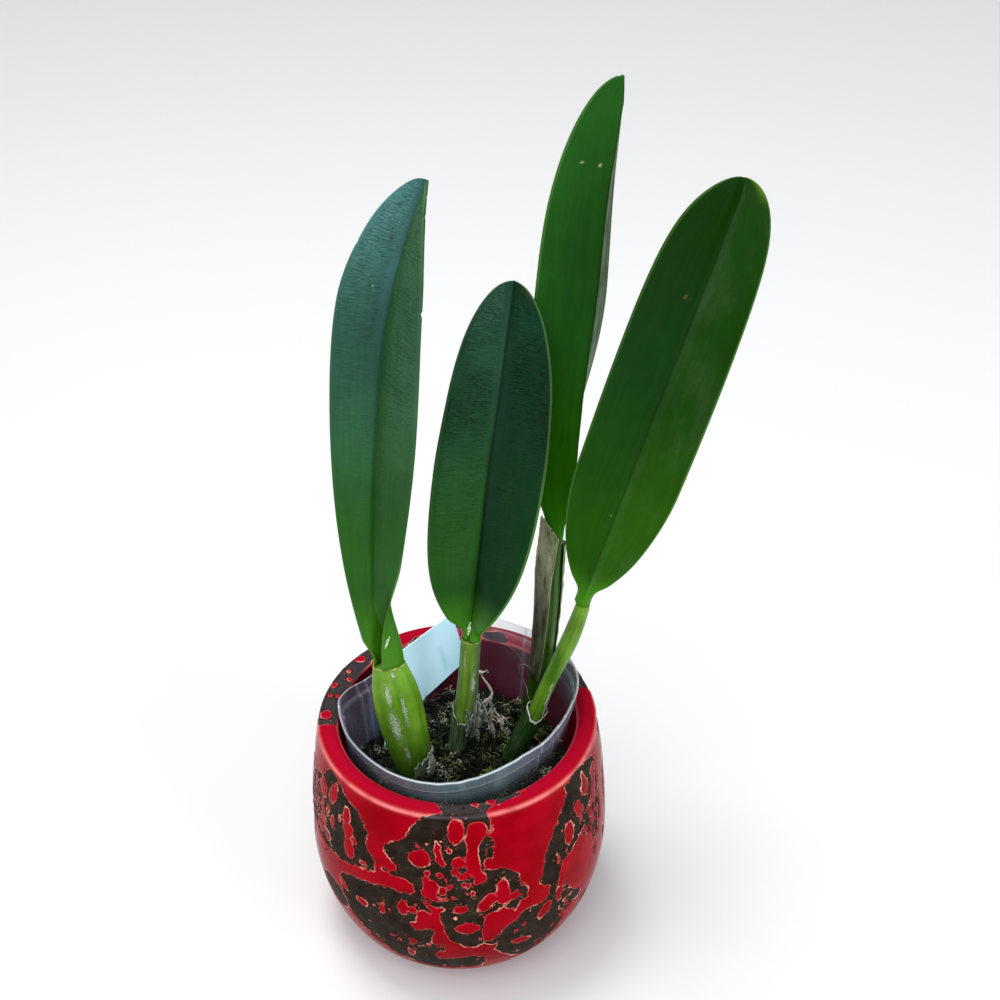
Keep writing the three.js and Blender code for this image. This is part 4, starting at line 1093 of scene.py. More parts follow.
# Fine hairs that hang between the back and the right stem, and how thick they are
HAIRS = [
    [(16.5, 18, 118.7), (19.8, 18, 117.1), (23, 17, 114), (24, 15, 110.7), (23.5, 13, 107.5)],
    [(23, 14, 111), (25.9, 14, 111.6), (28.1, 14, 109.4), (30.4, 15, 107.8)],
    [(23.2, 12, 112.3), (24.7, 12, 106.3), (26.7, 10, 101.4), (28.4, 5, 97)],
    [(27.9, 3, 99.1), (25.5, 5, 98), (24.3, 6, 95.8), (25.1, 4, 94.1), (26, 2, 94.6)],
    [(26.4, 10, 104), (27.6, 9, 99), (28.8, 5, 95.6)],
]
HAIR = 0.09


def make_strands(sheets):
    """Dry strands lying over the moss"""
    random = np.random.default_rng(17)
    paths = []
    last = STRAND_KNOTS - 1
    for _ in range(STRANDS):
        reach, bearing = STRAND_REACH * math.sqrt(random.random()), random.uniform(0, 2 * math.pi)
        x, y = reach * math.cos(bearing) + 1, reach * math.sin(bearing) - 1
        heading, curl = random.uniform(0, 2 * math.pi), random.uniform(-0.5, 0.5)
        length, lift = random.uniform(1.5, 7), random.uniform(0.3, 2.0)
        points = []
        for i in range(STRAND_KNOTS):
            points.append((x, y, float(mix_height(x, y)) + 0.8 + lift * math.sin(math.pi * i / last)))
            heading += curl + random.uniform(-0.35, 0.35)
            x += math.cos(heading) * length / last
            y += math.sin(heading) * length / last
        paths.append((points, [random.uniform(0.07, 0.17)] * STRAND_KNOTS))
    paths += [wandering(path, [HAIR, HAIR, HAIR * 0.6], 40, 0.3, 200 + i) for i, path in enumerate(HAIRS)]
    make_strand_piece("dry_strands", paths, sheets, (0.7, 4, sheets["strands"]), "mossy_mix")


# Stems, leaves and sheaths
def stem_surface(stem, share, azimuth, extra, crisp=False):
    """Places on a stem's skin, moved out by extra; crisp narrows the furrows between broad ridges"""
    share = np.clip(share, 0, 1)
    centre, tangent = smooth_curve(stem["axis"], share), curve_way(stem["axis"], share)
    level = np.broadcast_to(np.array([1.0, 0, 0]), tangent.shape)
    wide_way = unit(level - tangent * dot(level, tangent))
    deep_way = np.cross(tangent, wide_way)
    wave = 0.5 - 0.5 * np.cos(stem["furrows"] * azimuth)
    depth = wave ** 3 * 1.7 if crisp else wave
    groove = 1 - stem["furrow"] * np.sin(math.pi * share) * depth
    wide = along(stem["wide"], share) * groove + extra
    deep = along(stem["deep"], share) * groove + extra
    return (centre + wide_way * (wide * np.cos(azimuth))[..., None]
            + deep_way * (deep * np.sin(azimuth))[..., None])


def top_share(stem):
    """The share of a stem's length at which its leaf sits on it"""
    shares = np.linspace(0, 1, 801)
    gaps = np.linalg.norm(smooth_curve(stem["axis"], shares) - np.array(stem["top"]), axis=1)
    return shares[np.argmin(gaps)]


BULB_SHEEN = (0.8, 1.0, 0.6, 1.0)  # the colour of its highlights
# A flake streak has its azimuth, its share of the height, and its half width and half height
PLAIN_BULB = {"relief": 0.5, "film": 0.0, "flakes": []}
BULB_LOOKS = {
    "left": PLAIN_BULB | {
        "skin": rgb(122, 170, 48), "deep": rgb(80, 130, 16), "low": rgb(58, 98, 12), "groove": 0.4,
        "flakes": [(-103, 0.86, 4, 0.06), (-103, 0.63, 10, 0.1), (-101, 0.42, 15, 0.13), (-79, 0.76, 9, 0.05),
                   (-71, 0.52, 6, 0.14), (-90, 0.24, 7, 0.09)]},
    "centre": PLAIN_BULB | {
        "skin": rgb(124, 160, 56), "deep": rgb(78, 112, 24), "low": rgb(40, 60, 18), "groove": 0.6,
        "relief": 0.8, "film": 0.65, "flakes": [(-60, 0.55, 20, 0.1), (-118, 0.7, 5, 0.12)]},
    "right": PLAIN_BULB | {
        "skin": rgb(108, 154, 40), "deep": rgb(48, 94, 8), "low": rgb(14, 40, 4), "groove": 0.3},
    "back": PLAIN_BULB | {
        "skin": rgb(34, 80, 6), "deep": rgb(20, 52, 4), "low": rgb(18, 34, 8), "groove": 0.5, "relief": 1.0},
}


def bulb_finish(name, look):
    """Ribbed green skin with papery flakes"""
    # Painted shade darkens the furrows, as much as the look's groove says
    furrow_shade = tuple(part * 0.7 for part in look["deep"][:3]) + (1.0,)
    material, shader, w, place = new_finish(f"bulb_skin_{name}", 0.34, specular=0.3, tint=BULB_SHEEN)
    skin = w.mottled(place, 90.0, look["deep"], look["skin"], 0.3)
    lines = w.group(FIBRES, map=surface_map(w), fineness=14.0, length=0.5)
    colour = w.blend(w.times(lines["Lines"], 0.18), skin, rgb(150, 186, 70))
    colour = w.blend(w.times(w.read("furrow"), look["groove"]), colour, furrow_shade)
    colour = w.blend(w.ease(w.read("along"), 0.42, 0.02), colour, look["low"])
    colour = w.blend(w.read("film"), colour, w.blend(lines["Height"], rgb(44, 66, 30), rgb(112, 128, 92)))
    torn = w.group(FIBRES, map=surface_map(w), fineness=22.0, length=9.0, waviness=1.6)["Height"]
    flake = w.ease(w.plus(w.times(w.read("flake"), 0.3), torn), 0.68, 0.74)
    flake = w.times(flake, w.ease(w.read("flake"), 0.15, 0.4))
    colour = w.blend(w.times(flake, 0.75), colour, rgb(204, 216, 190))
    w.feed(shader["Base Color"], colour)
    w.feed(shader["Roughness"], w.ease(flake, 0.0, 1.0, 0.33, 0.7))
    raised = w.plus(w.times(lines["Height"], 0.35), flake)
    w.feed(shader["Normal"], w.bump(raised, 0.18))
    return material


def make_bulb(name, stem):
    """One pseudobulb with its furrows"""
    rows, columns = BULB_MESH
    top = top_share(stem) - 0.001
    share = np.linspace(0, top, rows)[:, None]
    azimuth = np.linspace(-math.pi, math.pi, columns, endpoint=False)[None, :]
    share, azimuth = np.broadcast_arrays(share, azimuth)
    turn = np.degrees(azimuth)
    wrinkles = 0.05 * ripple(name_seed(name), turn / 14, share * 2.2) * np.sin(math.pi * share)
    seam = -0.25 * hump(share - top, 0.012)
    look = BULB_LOOKS[name]
    furrowed = stem | {"furrow": stem["furrow"] * look["relief"]}
    points = stem_surface(furrowed, share, azimuth, wrinkles + seam, crisp=True)
    piece = add_piece(f"bulb_{name}", points, loft_faces(rows, columns))
    wave = 0.5 - 0.5 * np.cos(stem["furrows"] * azimuth)
    note(piece, "furrow", wave ** 3 * np.sin(math.pi * share) * (1 - ease(share, top - 0.1, top)))
    note(piece, "along", share / top)
    from_edge = turn_from(-68, turn)
    note(piece, "film", look["film"] * ease(from_edge, -8, 6) * ease(from_edge, 120, 90))
    flake = np.zeros(share.shape)
    for at, level, spread, tall in look["flakes"]:
        flake = np.maximum(flake, hump(turn_from(at, turn), spread) * hump(share - level, tall))
    note(piece, "flake", flake)
    radius, length = 6, 70  # about the stem's own, for its map
    lay_map(piece, np.radians(turn) * radius, share * length)
    finish_piece(piece, bulb_finish(name, look), "bulb_green", f"pseudobulb_{name}")


def leaf_width(leaf, share, greatest, across):
    """Half a leaf's width at shares of its length"""
    widest, base = leaf["widest"], leaf["base"]
    corner = 0.3 * max(0, 2 - leaf["lower"])
    below = np.clip((widest - share) / widest, 0, 1)
    below = (np.hypot(below, corner) - corner) / (math.hypot(1, corner) - corner)
    rising = base + (greatest - base) * (1 - below ** leaf["lower"])
    past = np.clip((share - widest) / (1 - widest), 0, 1)
    left, right = leaf["tip_fullness"]
    blunt = leaf["upper"] * (left + (right - left) * ease(across, -0.1, 0.1))
    point = 0.5 + (leaf["tip_point"] - 0.5) * ease(across, -0.1, 0.1)
    closing = greatest * np.maximum(0, 1 - past ** blunt) ** point
    return np.where(share < widest, rising, closing)


def leaf_ways(leaf, share):
    """The ways that a leaf's right side and its upper face point to, at shares of its length"""
    tangent = curve_way(leaf["midrib"], share)
    azimuth = np.radians(three_way(leaf["facing"], share))
    face = np.stack([np.cos(azimuth), np.sin(azimuth), np.zeros_like(azimuth)], -1)
    face = unit(face - tangent * dot(face, tangent))
    return np.cross(tangent, face), face


def leaf_thickness(share, reach):
    """How thick a leaf is: more along its keel, less by its margins and its tip"""
    keel = LEAF_KEEL * np.maximum(0, 1 - 6 * reach)
    thick = LEAF_MIDDLE + (LEAF_MARGIN - LEAF_MIDDLE) * reach + keel
    return thick * np.minimum(1, (1 - share) * 12 + 0.55)


def leaf_foot(leaf, stem, across, middle, side, face):
    """Places on a leaf's underside and upper side where it wraps round its stem"""
    wide = along(stem["wide"], 1.0) + LEAF_CLEARANCE + 0 * across
    deep = along(stem["deep"], 1.0) + LEAF_CLEARANCE + 0 * across
    centre = middle + np.array(stem["top"]) - np.array(leaf["midrib"][0])
    centre[..., 2] = middle[..., 2]
    wrap_left, wrap_right = leaf["wrap"]
    round_turn = np.radians(across * np.where(across < 0, wrap_left, wrap_right))[..., None]
    sideways, forwards = side * np.sin(round_turn), face * np.cos(round_turn)
    outer = centre + sideways * wide[..., None] - forwards * deep[..., None]
    if leaf["rolled"]:
        inner_wide, inner_deep = wide - ROLLED_WALL, deep - ROLLED_WALL
        inner = centre + sideways * inner_wide[..., None] - forwards * inner_deep[..., None]
    else:
        front = deep * (0.85 - 0.35 * hump(across, 0.12))
        inner = centre + sideways * wide[..., None] + forwards * front[..., None]
    return outer, inner


def leaf_surface(leaf, stem, share, across, under):
    """Places on a leaf. across runs from -1 to 1, and under from 0 on the upper side to 1 on the underside"""
    held = np.clip(share, 0, 1)
    reach, sign = np.abs(across), np.where(across < 0, -1.0, 1.0)
    side, face = leaf_ways(leaf, held)
    thick = leaf_thickness(held, reach)
    rounding = 0.42 * thick * ease(reach, 0.9, 1)
    half = leaf_width(leaf, held, np.where(across < 0, leaf["left"], leaf["right"]), across)
    width = np.maximum(half * reach - rounding, 0)
    for side_sign, level, depth in leaf["nicks"]:
        width = width - depth * ease(reach, 0.85, 1) * (sign == side_sign) * hump(held - level, 0.006)
    rise = np.radians(three_way(leaf["fold"], held)) - LEAF_CUP * reach
    middle = smooth_curve(leaf["midrib"], share)
    cos_rise, sin_rise = np.cos(rise)[..., None], np.sin(rise)[..., None]
    outward = side * sign[..., None] * cos_rise + face * sin_rise
    upper = middle + outward * width[..., None]
    down = unit(side * (sign * np.sqrt(reach))[..., None] * sin_rise - face * cos_rise)
    seed = int(leaf["left"] * 10)
    swell = 0.10 * ripple(seed, across * 1.3, share * 5) + 0.045 * ripple(seed + 1, across * 4, share * 22)
    groove = 0.3 * hump(width, 0.7) * ease(share, 0.02, 0.1)
    upper = upper + down * ((groove * (1 - under)) + swell * (1 - ease(reach, 0.85, 1)))[..., None]
    low = upper + down * thick[..., None]
    short, long = leaf["neck_ends"]
    neck_end = short + (long - short) * ease(across, -0.4, 0.4)
    neck = ease(neck_end - held, 0, neck_end)[..., None]
    outer, inner = leaf_foot(leaf, stem, across, middle, side, face)
    low = low * (1 - neck) + outer * neck
    upper = upper * (1 - neck) + inner * neck
    spot = upper * (1 - under)[..., None] + low * under[..., None]
    bulge = np.sin(math.pi * under) * rounding * ease(reach, 0.999, 1)
    return spot + outward * bulge[..., None]


# Colours from the foot to the tip: of the side that faces the viewer, its half left of the midrib and its
# half right of it, and of the other side; inner has both halves' colours by the midrib. These colours hold
# painted light: the halves differ partly by painted shade from each leaf's fold, the left and centre leaves
# turn bluish towards their tips as a painted reflection, and inner is painted sheen and painted shade along
# the groove. A scar has its place across and along, its half width, below 0 for a pale one, and its half
# length.
PLAIN_LEAF_SKIN = {"shine": 0.17, "cracks": 0.3, "haze": 0.0, "lap": 0.0, "groove": 0.3, "scars": []}
LEAF_LOOKS = {
    "left": PLAIN_LEAF_SKIN | {
        "shown": "upper", "left": (rgb(34, 82, 4), rgb(45, 87, 66), rgb(72, 122, 118)),
        "right": (rgb(34, 78, 14), rgb(50, 88, 58), rgb(60, 100, 66)),
        "other": (rgb(34, 92, 8), rgb(26, 64, 22), rgb(24, 56, 26)),
        "inner": (rgb(70, 114, 112), rgb(38, 78, 34)), "base": rgb(66, 124, 16), "tip": rgb(70, 112, 62),
        "gloss": (0.55, 0.95, 1.0, 1.0), "wrinkles": 1.0, "cracks": 1.0, "margin": (0.04, 0.03), "lap": 0.6,
        "groove": 0.25,
    },
    "centre": PLAIN_LEAF_SKIN | {
        "shown": "upper", "left": (rgb(30, 78, 12), rgb(18, 58, 28), rgb(38, 75, 54)),
        "right": (rgb(8, 50, 12), rgb(4, 42, 16), rgb(10, 54, 28)),
        "other": (rgb(40, 98, 18), rgb(34, 84, 26), rgb(34, 84, 30)),
        "inner": (rgb(22, 58, 34), rgb(8, 46, 20)), "base": rgb(64, 128, 20), "tip": rgb(96, 70, 44),
        "gloss": (0.6, 1.0, 0.85, 1.0), "wrinkles": 1.5, "margin": (0.1, 0.34), "groove": 0.7,
    },
    "right": PLAIN_LEAF_SKIN | {
        "shown": "under", "left": (rgb(26, 76, 0), rgb(14, 54, 14), rgb(6, 42, 0)),
        "right": (rgb(32, 76, 0), rgb(14, 54, 0), rgb(12, 52, 0)),
        "other": (rgb(40, 100, 24), rgb(34, 86, 44), rgb(44, 92, 60)),
        "base": rgb(60, 122, 14), "tip": rgb(110, 140, 40), "gloss": (0.6, 1.0, 0.4, 1.0), "shine": 0.1,
        "wrinkles": 0.7, "haze": 0.3, "margin": (0.2, 0.3),
        "scars": [(0.2, 0.7255, 0.075, 0.006), (0.185, 0.7262, -0.022, 0.003)],
    },
    "back": PLAIN_LEAF_SKIN | {
        "shown": "under", "left": (rgb(34, 92, 0), rgb(34, 90, 26), rgb(34, 84, 26)),
        "right": (rgb(38, 90, 14), rgb(38, 78, 16), rgb(40, 78, 18)),
        "other": (rgb(40, 100, 30), rgb(44, 92, 52), rgb(48, 96, 60)),
        "base": rgb(44, 106, 12), "tip": rgb(90, 120, 40), "gloss": (0.6, 1.0, 0.5, 1.0), "shine": 0.03,
        "wrinkles": 0.7, "margin": (0.25, 0.25),
        "scars": [(0.55, 0.868, -0.07, 0.002), (0.2, 0.862, -0.03, 0.004)],
    },
}


def leaf_greens(w, look, place, on_the_right):
    """A leaf's greens on both sides, with painted light and shade, clouds, veins and haze, and yellower at
    its foot
    """
    lengthwise, under, reach = w.read("along"), w.read("under"), w.sum("ABSOLUTE", w.read("across"))

    def from_foot_to_tip(low, middle, high):
        colour = w.blend(w.ease(lengthwise, 0.22, 0.6), low, middle)
        return w.blend(w.ease(lengthwise, 0.55, 0.92), colour, high)

    shown = w.blend(on_the_right, from_foot_to_tip(*look["left"]), from_foot_to_tip(*look["right"]))
    other = from_foot_to_tip(*look["other"])
    colour = w.blend(under, shown, other) if look["shown"] == "upper" else w.blend(under, other, shown)
    # By the groove a painted sheen lies on one side and painted shade on the other
    if "inner" in look:
        fades_in = w.ease(on_the_right, 0.0, 1.0, 0.5, 0.2)
        is_full = w.ease(on_the_right, 0.0, 1.0, 0.8, 0.45)
        high_up = w.ease(lengthwise, fades_in, is_full)
        by_groove = w.times(w.ease(reach, 0.34, 0.08), w.times(high_up, 0.8))
        colour = w.blend(by_groove, colour, w.blend(on_the_right, *look["inner"]))
    clouds = w.ease(w.noise(place, 34.0, 4.0, 0.6), 0.3, 0.7, 0.86, 1.12)
    veins = w.noise(w.stretch(surface_map(w), (9.0, 0.5, 1.0)), 1.0, 3.0)
    veins = w.ease(veins, 0.3, 0.7, 0.93, 1.06)
    colour = w.scale(colour, w.times(clouds, veins))
    haze = w.ease(w.noise(w.stretch(place, (1.0, 1.0, 0.5)), 70.0, 6.0, 0.75), 0.42, 0.75)
    haze = w.times(haze, look["haze"] * 0.3, on_the_right)
    colour = w.blend(haze, colour, rgb(112, 134, 100))
    return w.blend(w.ease(lengthwise, 0.16, 0.01), colour, look["base"])


def leaf_wrinkles(w, look, place):
    """Puckers across a leaf, finer ones between them and cracks by its tip, and how strong they all are"""
    lengthwise, chart, reach = w.read("along"), surface_map(w), w.sum("ABSOLUTE", w.read("across"))
    ridges = w.noise(w.stretch(chart, (2.4, 10.5, 1.0)), 1.0, 2.0, 0.55, 0.25)
    puckers = w.ease(ridges, 0.34, 0.62)
    fine = w.noise(w.stretch(chart, (7.0, 19.0, 1.0)), 1.0, 2.0, 0.5, 0.3)
    cracks = w.noise(w.stretch(chart, (2.8, 6.0, 1.0)), 1.0, 1.5, 0.5, 0.9)
    cracks = w.times(w.ease(cracks, 0.36, 0.3), w.ease(lengthwise, 0.6, 0.85, 0.0, look["cracks"]))
    patchy = w.ease(w.noise(place, 75.0, 2.0), 0.32, 0.58, 0.35, 1.0)
    grown = w.times(w.ease(lengthwise, 0.15, 0.7, 0.08, 1.0), w.ease(reach, 1.0, 0.9))
    clear_strip = w.ease(reach, 0.05, 0.28, 0.15, 1.0)
    strength = w.times(patchy, grown, clear_strip)
    return puckers, fine, cracks, w.times(strength, look["wrinkles"], w.rest(w.read("under")))


def leaf_finish(name, look):
    """Leathery green skin, wrinkled across, with pale margins, flecks and scars"""
    material, shader, w, place = new_finish(f"leaf_skin_{name}", 0.36, specular=look["shine"],
                                            tint=look["gloss"])
    across, lengthwise = w.read("across"), w.read("along")
    reach = w.sum("ABSOLUTE", across)
    softness = 0.02 if look["shown"] == "upper" else 0.1
    on_the_right = w.ease(across, -softness, softness)
    if look["shown"] == "under":
        on_the_right = w.rest(on_the_right)
    colour = leaf_greens(w, look, place, on_the_right)
    puckers, fine, cracks, strength = leaf_wrinkles(w, look, place)
    # Painted shade darkens the wrinkles' valleys and the cracks, and painted light brightens the ridges
    # between them
    valley_shade = w.times(w.rest(puckers), strength)
    colour = w.scale(colour, w.minus(1.07, w.times(valley_shade, 0.17)))
    colour = w.scale(colour, w.rest(w.times(cracks, strength, 0.5)))
    # Painted shade darkens the midrib's groove, as much as the look's groove says
    midrib = w.times(w.ease(reach, 0.028, 0.01), look["groove"])
    colour = w.scale(colour, w.rest(midrib))
    low_margin, high_margin = look["margin"]
    amount = w.ease(on_the_right, 0.0, 1.0, low_margin, high_margin)
    lapped = w.times(on_the_right, w.ease(lengthwise, 0.24, 0.15), look["lap"])
    margin = w.times(w.ease(reach, 0.965, 0.992), w.sum("MAXIMUM", amount, lapped))
    colour = w.blend(margin, colour, rgb(112, 158, 74))
    tip_edge = w.times(w.ease(lengthwise, 0.93, 0.99), w.ease(reach, 0.55, 0.95))
    colour = w.blend(w.times(tip_edge, w.times(on_the_right, 0.55)), colour, look["tip"])
    fleck = w.group(SPECKS, place=place, scale=130.0, size=0.05, rarity=0.86)["Mask"]
    colour = w.blend(w.times(fleck, 0.7), colour, rgb(190, 200, 176))
    scar = w.read("scar")
    colour = w.blend(w.ease(scar, 0.3, 0.7), colour, rgb(104, 66, 36))
    colour = w.blend(w.ease(scar, -0.3, -0.7, 0.0, 0.7), colour, rgb(196, 200, 160))
    w.feed(shader["Base Color"], colour)
    w.feed(shader["Roughness"], w.ease(w.noise(place, 140.0, 3.0), 0.3, 0.7, 0.3, 0.42))
    relief = w.minus(w.plus(puckers, w.times(fine, 0.5)), cracks)
    relief = w.times(relief, strength)
    grain = w.times(w.noise(place, 1400.0, 3.0), 0.12)
    w.feed(shader["Normal"], w.bump(w.plus(relief, grain), 0.32))
    return material


def make_leaf(name, leaf, stem):
    """One leaf, closed round its margin and cut off level on its stem"""
    look = LEAF_LOOKS[name]
    rows, half = LEAF_MESH
    turn_points = 4
    spread = np.linspace(0, 1, half + 1)[1:] ** 1.25
    flat = np.concatenate([-spread[::-1], [0], spread])
    quarter = np.arange(1, turn_points) / turn_points
    across = np.concatenate([flat, np.ones(turn_points - 1), flat[::-1], -np.ones(turn_points - 1)])
    under = np.concatenate([np.zeros(len(flat)), quarter, np.ones(len(flat)), quarter[::-1]])
    top = top_share(stem)
    normal = curve_way(stem["axis"], np.array([top]))[0]
    foot = np.array(stem["top"]) + normal * SEAT / 2
    lowest, highest, tip = -0.04, 0.12, 0.99985  # the shares between which the foot's cut lies, and the tip's
    probe = np.linspace(lowest, highest, 240)[:, None]
    probe, across_grid = np.broadcast_arrays(probe, across[None, :])
    under_grid = np.broadcast_to(under[None, :], probe.shape)
    above = (leaf_surface(leaf, stem, probe, across_grid, under_grid) - foot) @ normal > 0
    first = np.argmax(above & np.roll(above, -1, 0), axis=0)
    starts = probe[first, 0]
    step = np.linspace(0, 1, rows)[:, None]
    shares = starts[None, :] + (tip - starts[None, :]) * (1 - (1 - step) ** 1.5)
    across_grid = np.broadcast_to(across[None, :], shares.shape)
    under_grid = np.broadcast_to(under[None, :], shares.shape)
    points = leaf_surface(leaf, stem, shares, across_grid, under_grid)
    short = (points[0] - foot) @ normal
    points[0] -= short[:, None] * normal
    piece = add_piece(f"leaf_blade_{name}", points, loft_faces(rows, len(across)))
    note(piece, "across", across_grid)
    note(piece, "along", shares)
    note(piece, "under", ease(under_grid, 0.2, 0.8))
    scar = np.zeros(shares.shape)
    shown = under_grid if look["shown"] == "under" else 1 - under_grid
    for at, level, wide, tall in look["scars"]:
        mark = hump(across_grid - at, wide) * hump(shares - level, tall) * shown
        scar = np.maximum(scar, mark) if wide > 0 else scar * (1 - mark) - mark
    note(piece, "scar", scar)
    length = np.sum(np.linalg.norm(np.diff(np.array(leaf["midrib"], float), axis=0), axis=1))
    lay_map(piece, across_grid * 18, shares * length)
    finish_piece(piece, leaf_finish(name, look), "leaf_green", f"leaf_{name}")


def make_joint_lines(sheets):
    """The corky line round each stem where its leaf sits on it"""
    paths = []
    for name, thick in (("left", 0.38), ("centre", 0.16)):
        stem = STEMS[name]
        share = np.full(49, top_share(stem))
        azimuth = np.linspace(0, 2 * math.pi, 49)
        ring = stem_surface(stem, share, azimuth, 0.06 * ripple(name_seed(name), azimuth * 2) - thick)
        paths.append(([tuple(p) for p in ring], [thick] * len(ring)))
    cork = grainy_finish("joint_line", 0.6, (400.0, rgb(96, 120, 40), rgb(190, 196, 120), 0.2),
                         (1.0, 1500.0, 3.0, 0.5, 0.1))
    make_strand_piece("leaf_joints", paths, sheets, (0.0, 6, cork), "bulb_green")


def paper_finish(name, look):
    """A dry sheath: fine lengthwise fibres, blotches and a paler torn edge"""
    material, shader, w, place = new_finish(f"sheath_paper_{name}", 0.62)
    fibres = w.group(FIBRES, map=surface_map(w), fineness=26.0, length=0.7, waviness=0.2)
    tone = w.mottled(w.stretch(place, (1.0, 1.0, 0.22)), 330.0, look["low"], look["high"], 0.2)
    tone = w.blend(w.times(fibres["Lines"], look["streaks"]), tone, look["edge"])
    dirt = w.group(SPECKS, place=place, scale=700.0, size=0.3, rarity=0.75)["Mask"]
    tone = w.blend(w.times(dirt, 0.5), tone, rgb(42, 34, 24))
    # Painted shade darkens a sheath low down and painted light brightens it near its top
    if "painted_light_by_height" in look:
        tone = w.scale(tone, w.ease(w.read("level"), *look["painted_light_by_height"]))
    edge = w.read("edge")
    tone = w.blend(w.times(w.ease(edge, 0.25, 0.9), 0.85), tone, look["edge"])
    w.feed(shader["Base Color"], tone)
    w.feed(shader["Alpha"], w.sum("ADD", look["solid"], w.times(edge, 1 - look["solid"]), clamp=True))
    w.feed(shader["Normal"], w.bump(fibres["Height"], 0.25))
    return material


PLAIN_SHEATH = {"solid": 1.0, "seam": 0.0, "edge_from": 0.95, "lap": 0.0, "flare": 0.35, "slot": "dry_sheath"}
SHEATH_LOOKS = {
    "back": PLAIN_SHEATH | {
        "low": rgb(70, 68, 44), "high": rgb(146, 146, 118), "edge": rgb(150, 172, 110),
        "painted_light_by_height": (0.44, 0.84, 0.36, 1.3), "streaks": 0.3, "torn": 0.5, "seam": 1.0, "edge_from": 0.97},
    "centre": PLAIN_SHEATH | {
        "low": rgb(40, 66, 32), "high": rgb(84, 106, 74), "edge": rgb(210, 214, 198), "solid": 0.94,
        "streaks": 0.25, "torn": 1.0},
    "right": PLAIN_SHEATH | {
        "low": rgb(18, 48, 6), "high": rgb(30, 66, 12), "edge": rgb(236, 240, 226), "streaks": 0.06,
        "torn": 0.45, "lap": 0.2, "flare": 0.12, "slot": "green_sheath"},
    "left": PLAIN_SHEATH | {
        "low": rgb(120, 136, 112), "high": rgb(170, 180, 160), "edge": rgb(214, 220, 206), "solid": 0.4,
        "streaks": 0.3, "torn": 1.4, "seam": 1.0, "edge_from": 0.94, "flare": 0.5},
}


def make_sheath(name, stem, shape):
    """One sheath round its stem, open along a slit, with a torn top"""
    rows, columns = SHEATH_MESH
    look = SHEATH_LOOKS[name]
    seed = name_seed(name)
    part = np.linspace(0, 1, rows)[:, None]
    place = np.linspace(0, 1, columns)[None, :]
    part, place = np.broadcast_arrays(part, place)
    gap_open = shape["slit"] * (1 - part) / 2 + 1.5 * ripple(seed + 2, part * 2)
    azimuth = shape["arc"][0] + gap_open + (shape["arc"][1] - shape["arc"][0] - 2 * gap_open) * place
    near_peak = hump(turn_from(shape["peak_at"], azimuth), shape["spread"])
    frontal = hump(turn_from(-90, azimuth), 48)
    plain = shape["top"] + (shape["low"] - shape["top"]) * frontal
    torn = look["torn"] * (0.006 * ripple(seed, azimuth / 7) + 0.008 * ripple(seed + 1, azimuth / 25))
    top = plain + (shape["peak"] - plain) * near_peak + torn
    bottom = shape["from"] + 0.01 * ripple(seed + 3, azimuth / 12)
    share = np.minimum(bottom + (top - bottom) * part, 0.995)
    crumple = 0.10 * ripple(seed + 4, azimuth / 18, share * 12)
    flare = look["flare"] * ease(part, 0.93, 1) * ease(ripple(seed + 5, azimuth / 30), 0, 1)
    gap = shape["gap"] + 0.12 + crumple + look["lap"] * place
    outer = stem_surface(stem, share, np.radians(azimuth), gap + 0.32 + flare)
    inner = stem_surface(stem, share, np.radians(azimuth), gap + flare)
    rings = np.concatenate([outer, inner[:, ::-1]], 1)
    piece = add_piece(f"sheath_skin_{name}", rings, loft_faces(rows, 2 * columns))
    rim = np.maximum(ease(part, look["edge_from"], 1), look["seam"] * ease(np.abs(place - 0.5), 0.485, 0.5))
    note(piece, "edge", there_and_back(rim))
    note(piece, "level", there_and_back(share))
    radius, length = 4, 100  # about the stem's own, for its map
    lay_map(piece, np.radians(there_and_back(azimuth)) * radius, there_and_back(share) * length)
    finish_piece(piece, paper_finish(name, look), look["slot"], f"sheath_{name}")


# Torn scraps: the way each runs, its half widths, the azimuth that it faces and how far it bulges
PAPER_SCRAPS = [
    ([(7.3, 5.6, 105.9), (6.5, 4.6, 101.3), (6.4, 3.6, 96.1), (5.8, 3, 91.4), (5.1, 2.4, 84.5)],
     [0.4, 1.7, 2.9, 2.2, 0.5], -96, 0.35),
    ([(8.6, 5.4, 101.4), (9.9, 5, 97.3), (10.4, 4.8, 94.1), (9.2, 5, 91)], [0.3, 0.7, 0.8, 0.3], -110, 0.5),
    ([(3.3, 1.4, 99.8), (4.4, 1.4, 93.6), (3.6, 1.2, 86.2)], [0.2, 1.1, 0.6], -70, 0.5),
    ([(8.9, 5, 95.7), (8.1, 4.4, 90.4), (6.9, 4, 85.6)], [0.9, 1, 0.3], -100, -0.4),
    ([(5.5, 2.6, 90), (7.4, 2.6, 86.4), (7.8, 2.2, 82.4)], [0.5, 0.7, 0.2], -90, 0.4),
]
CLEAR_SCRAPS = [
    ([(-10.6, -11.6, 90.2), (-9.6, -12, 86.5), (-9.6, -12, 82.3), (-11, -11.6, 76.4)], [0.5, 1.4, 1.7, 1.2],
     -60, 0.7),
    ([(36.7, -3.6, 128.6), (35.9, -4.4, 118.8), (34, -4.6, 110.4), (32.4, -4.2, 102)], [0.1, 0.35, 0.5, 0.3],
     -50, 0.2),
]
LEAF_FLAKES = [
    ([(-22.7, -13.4, 148.5), (-23.7, -13.2, 145.3), (-24.8, -12.6, 142.1)], [0.1, 0.5, 0.1], -100, 0.3),
    ([(5.4, 1.4, 142.9), (4.9, 1.2, 139.1), (4.6, 1.4, 136.3)], [0.15, 0.5, 0.15], -100, 0.3),
]
SCRAP_THICKNESS = 0.14


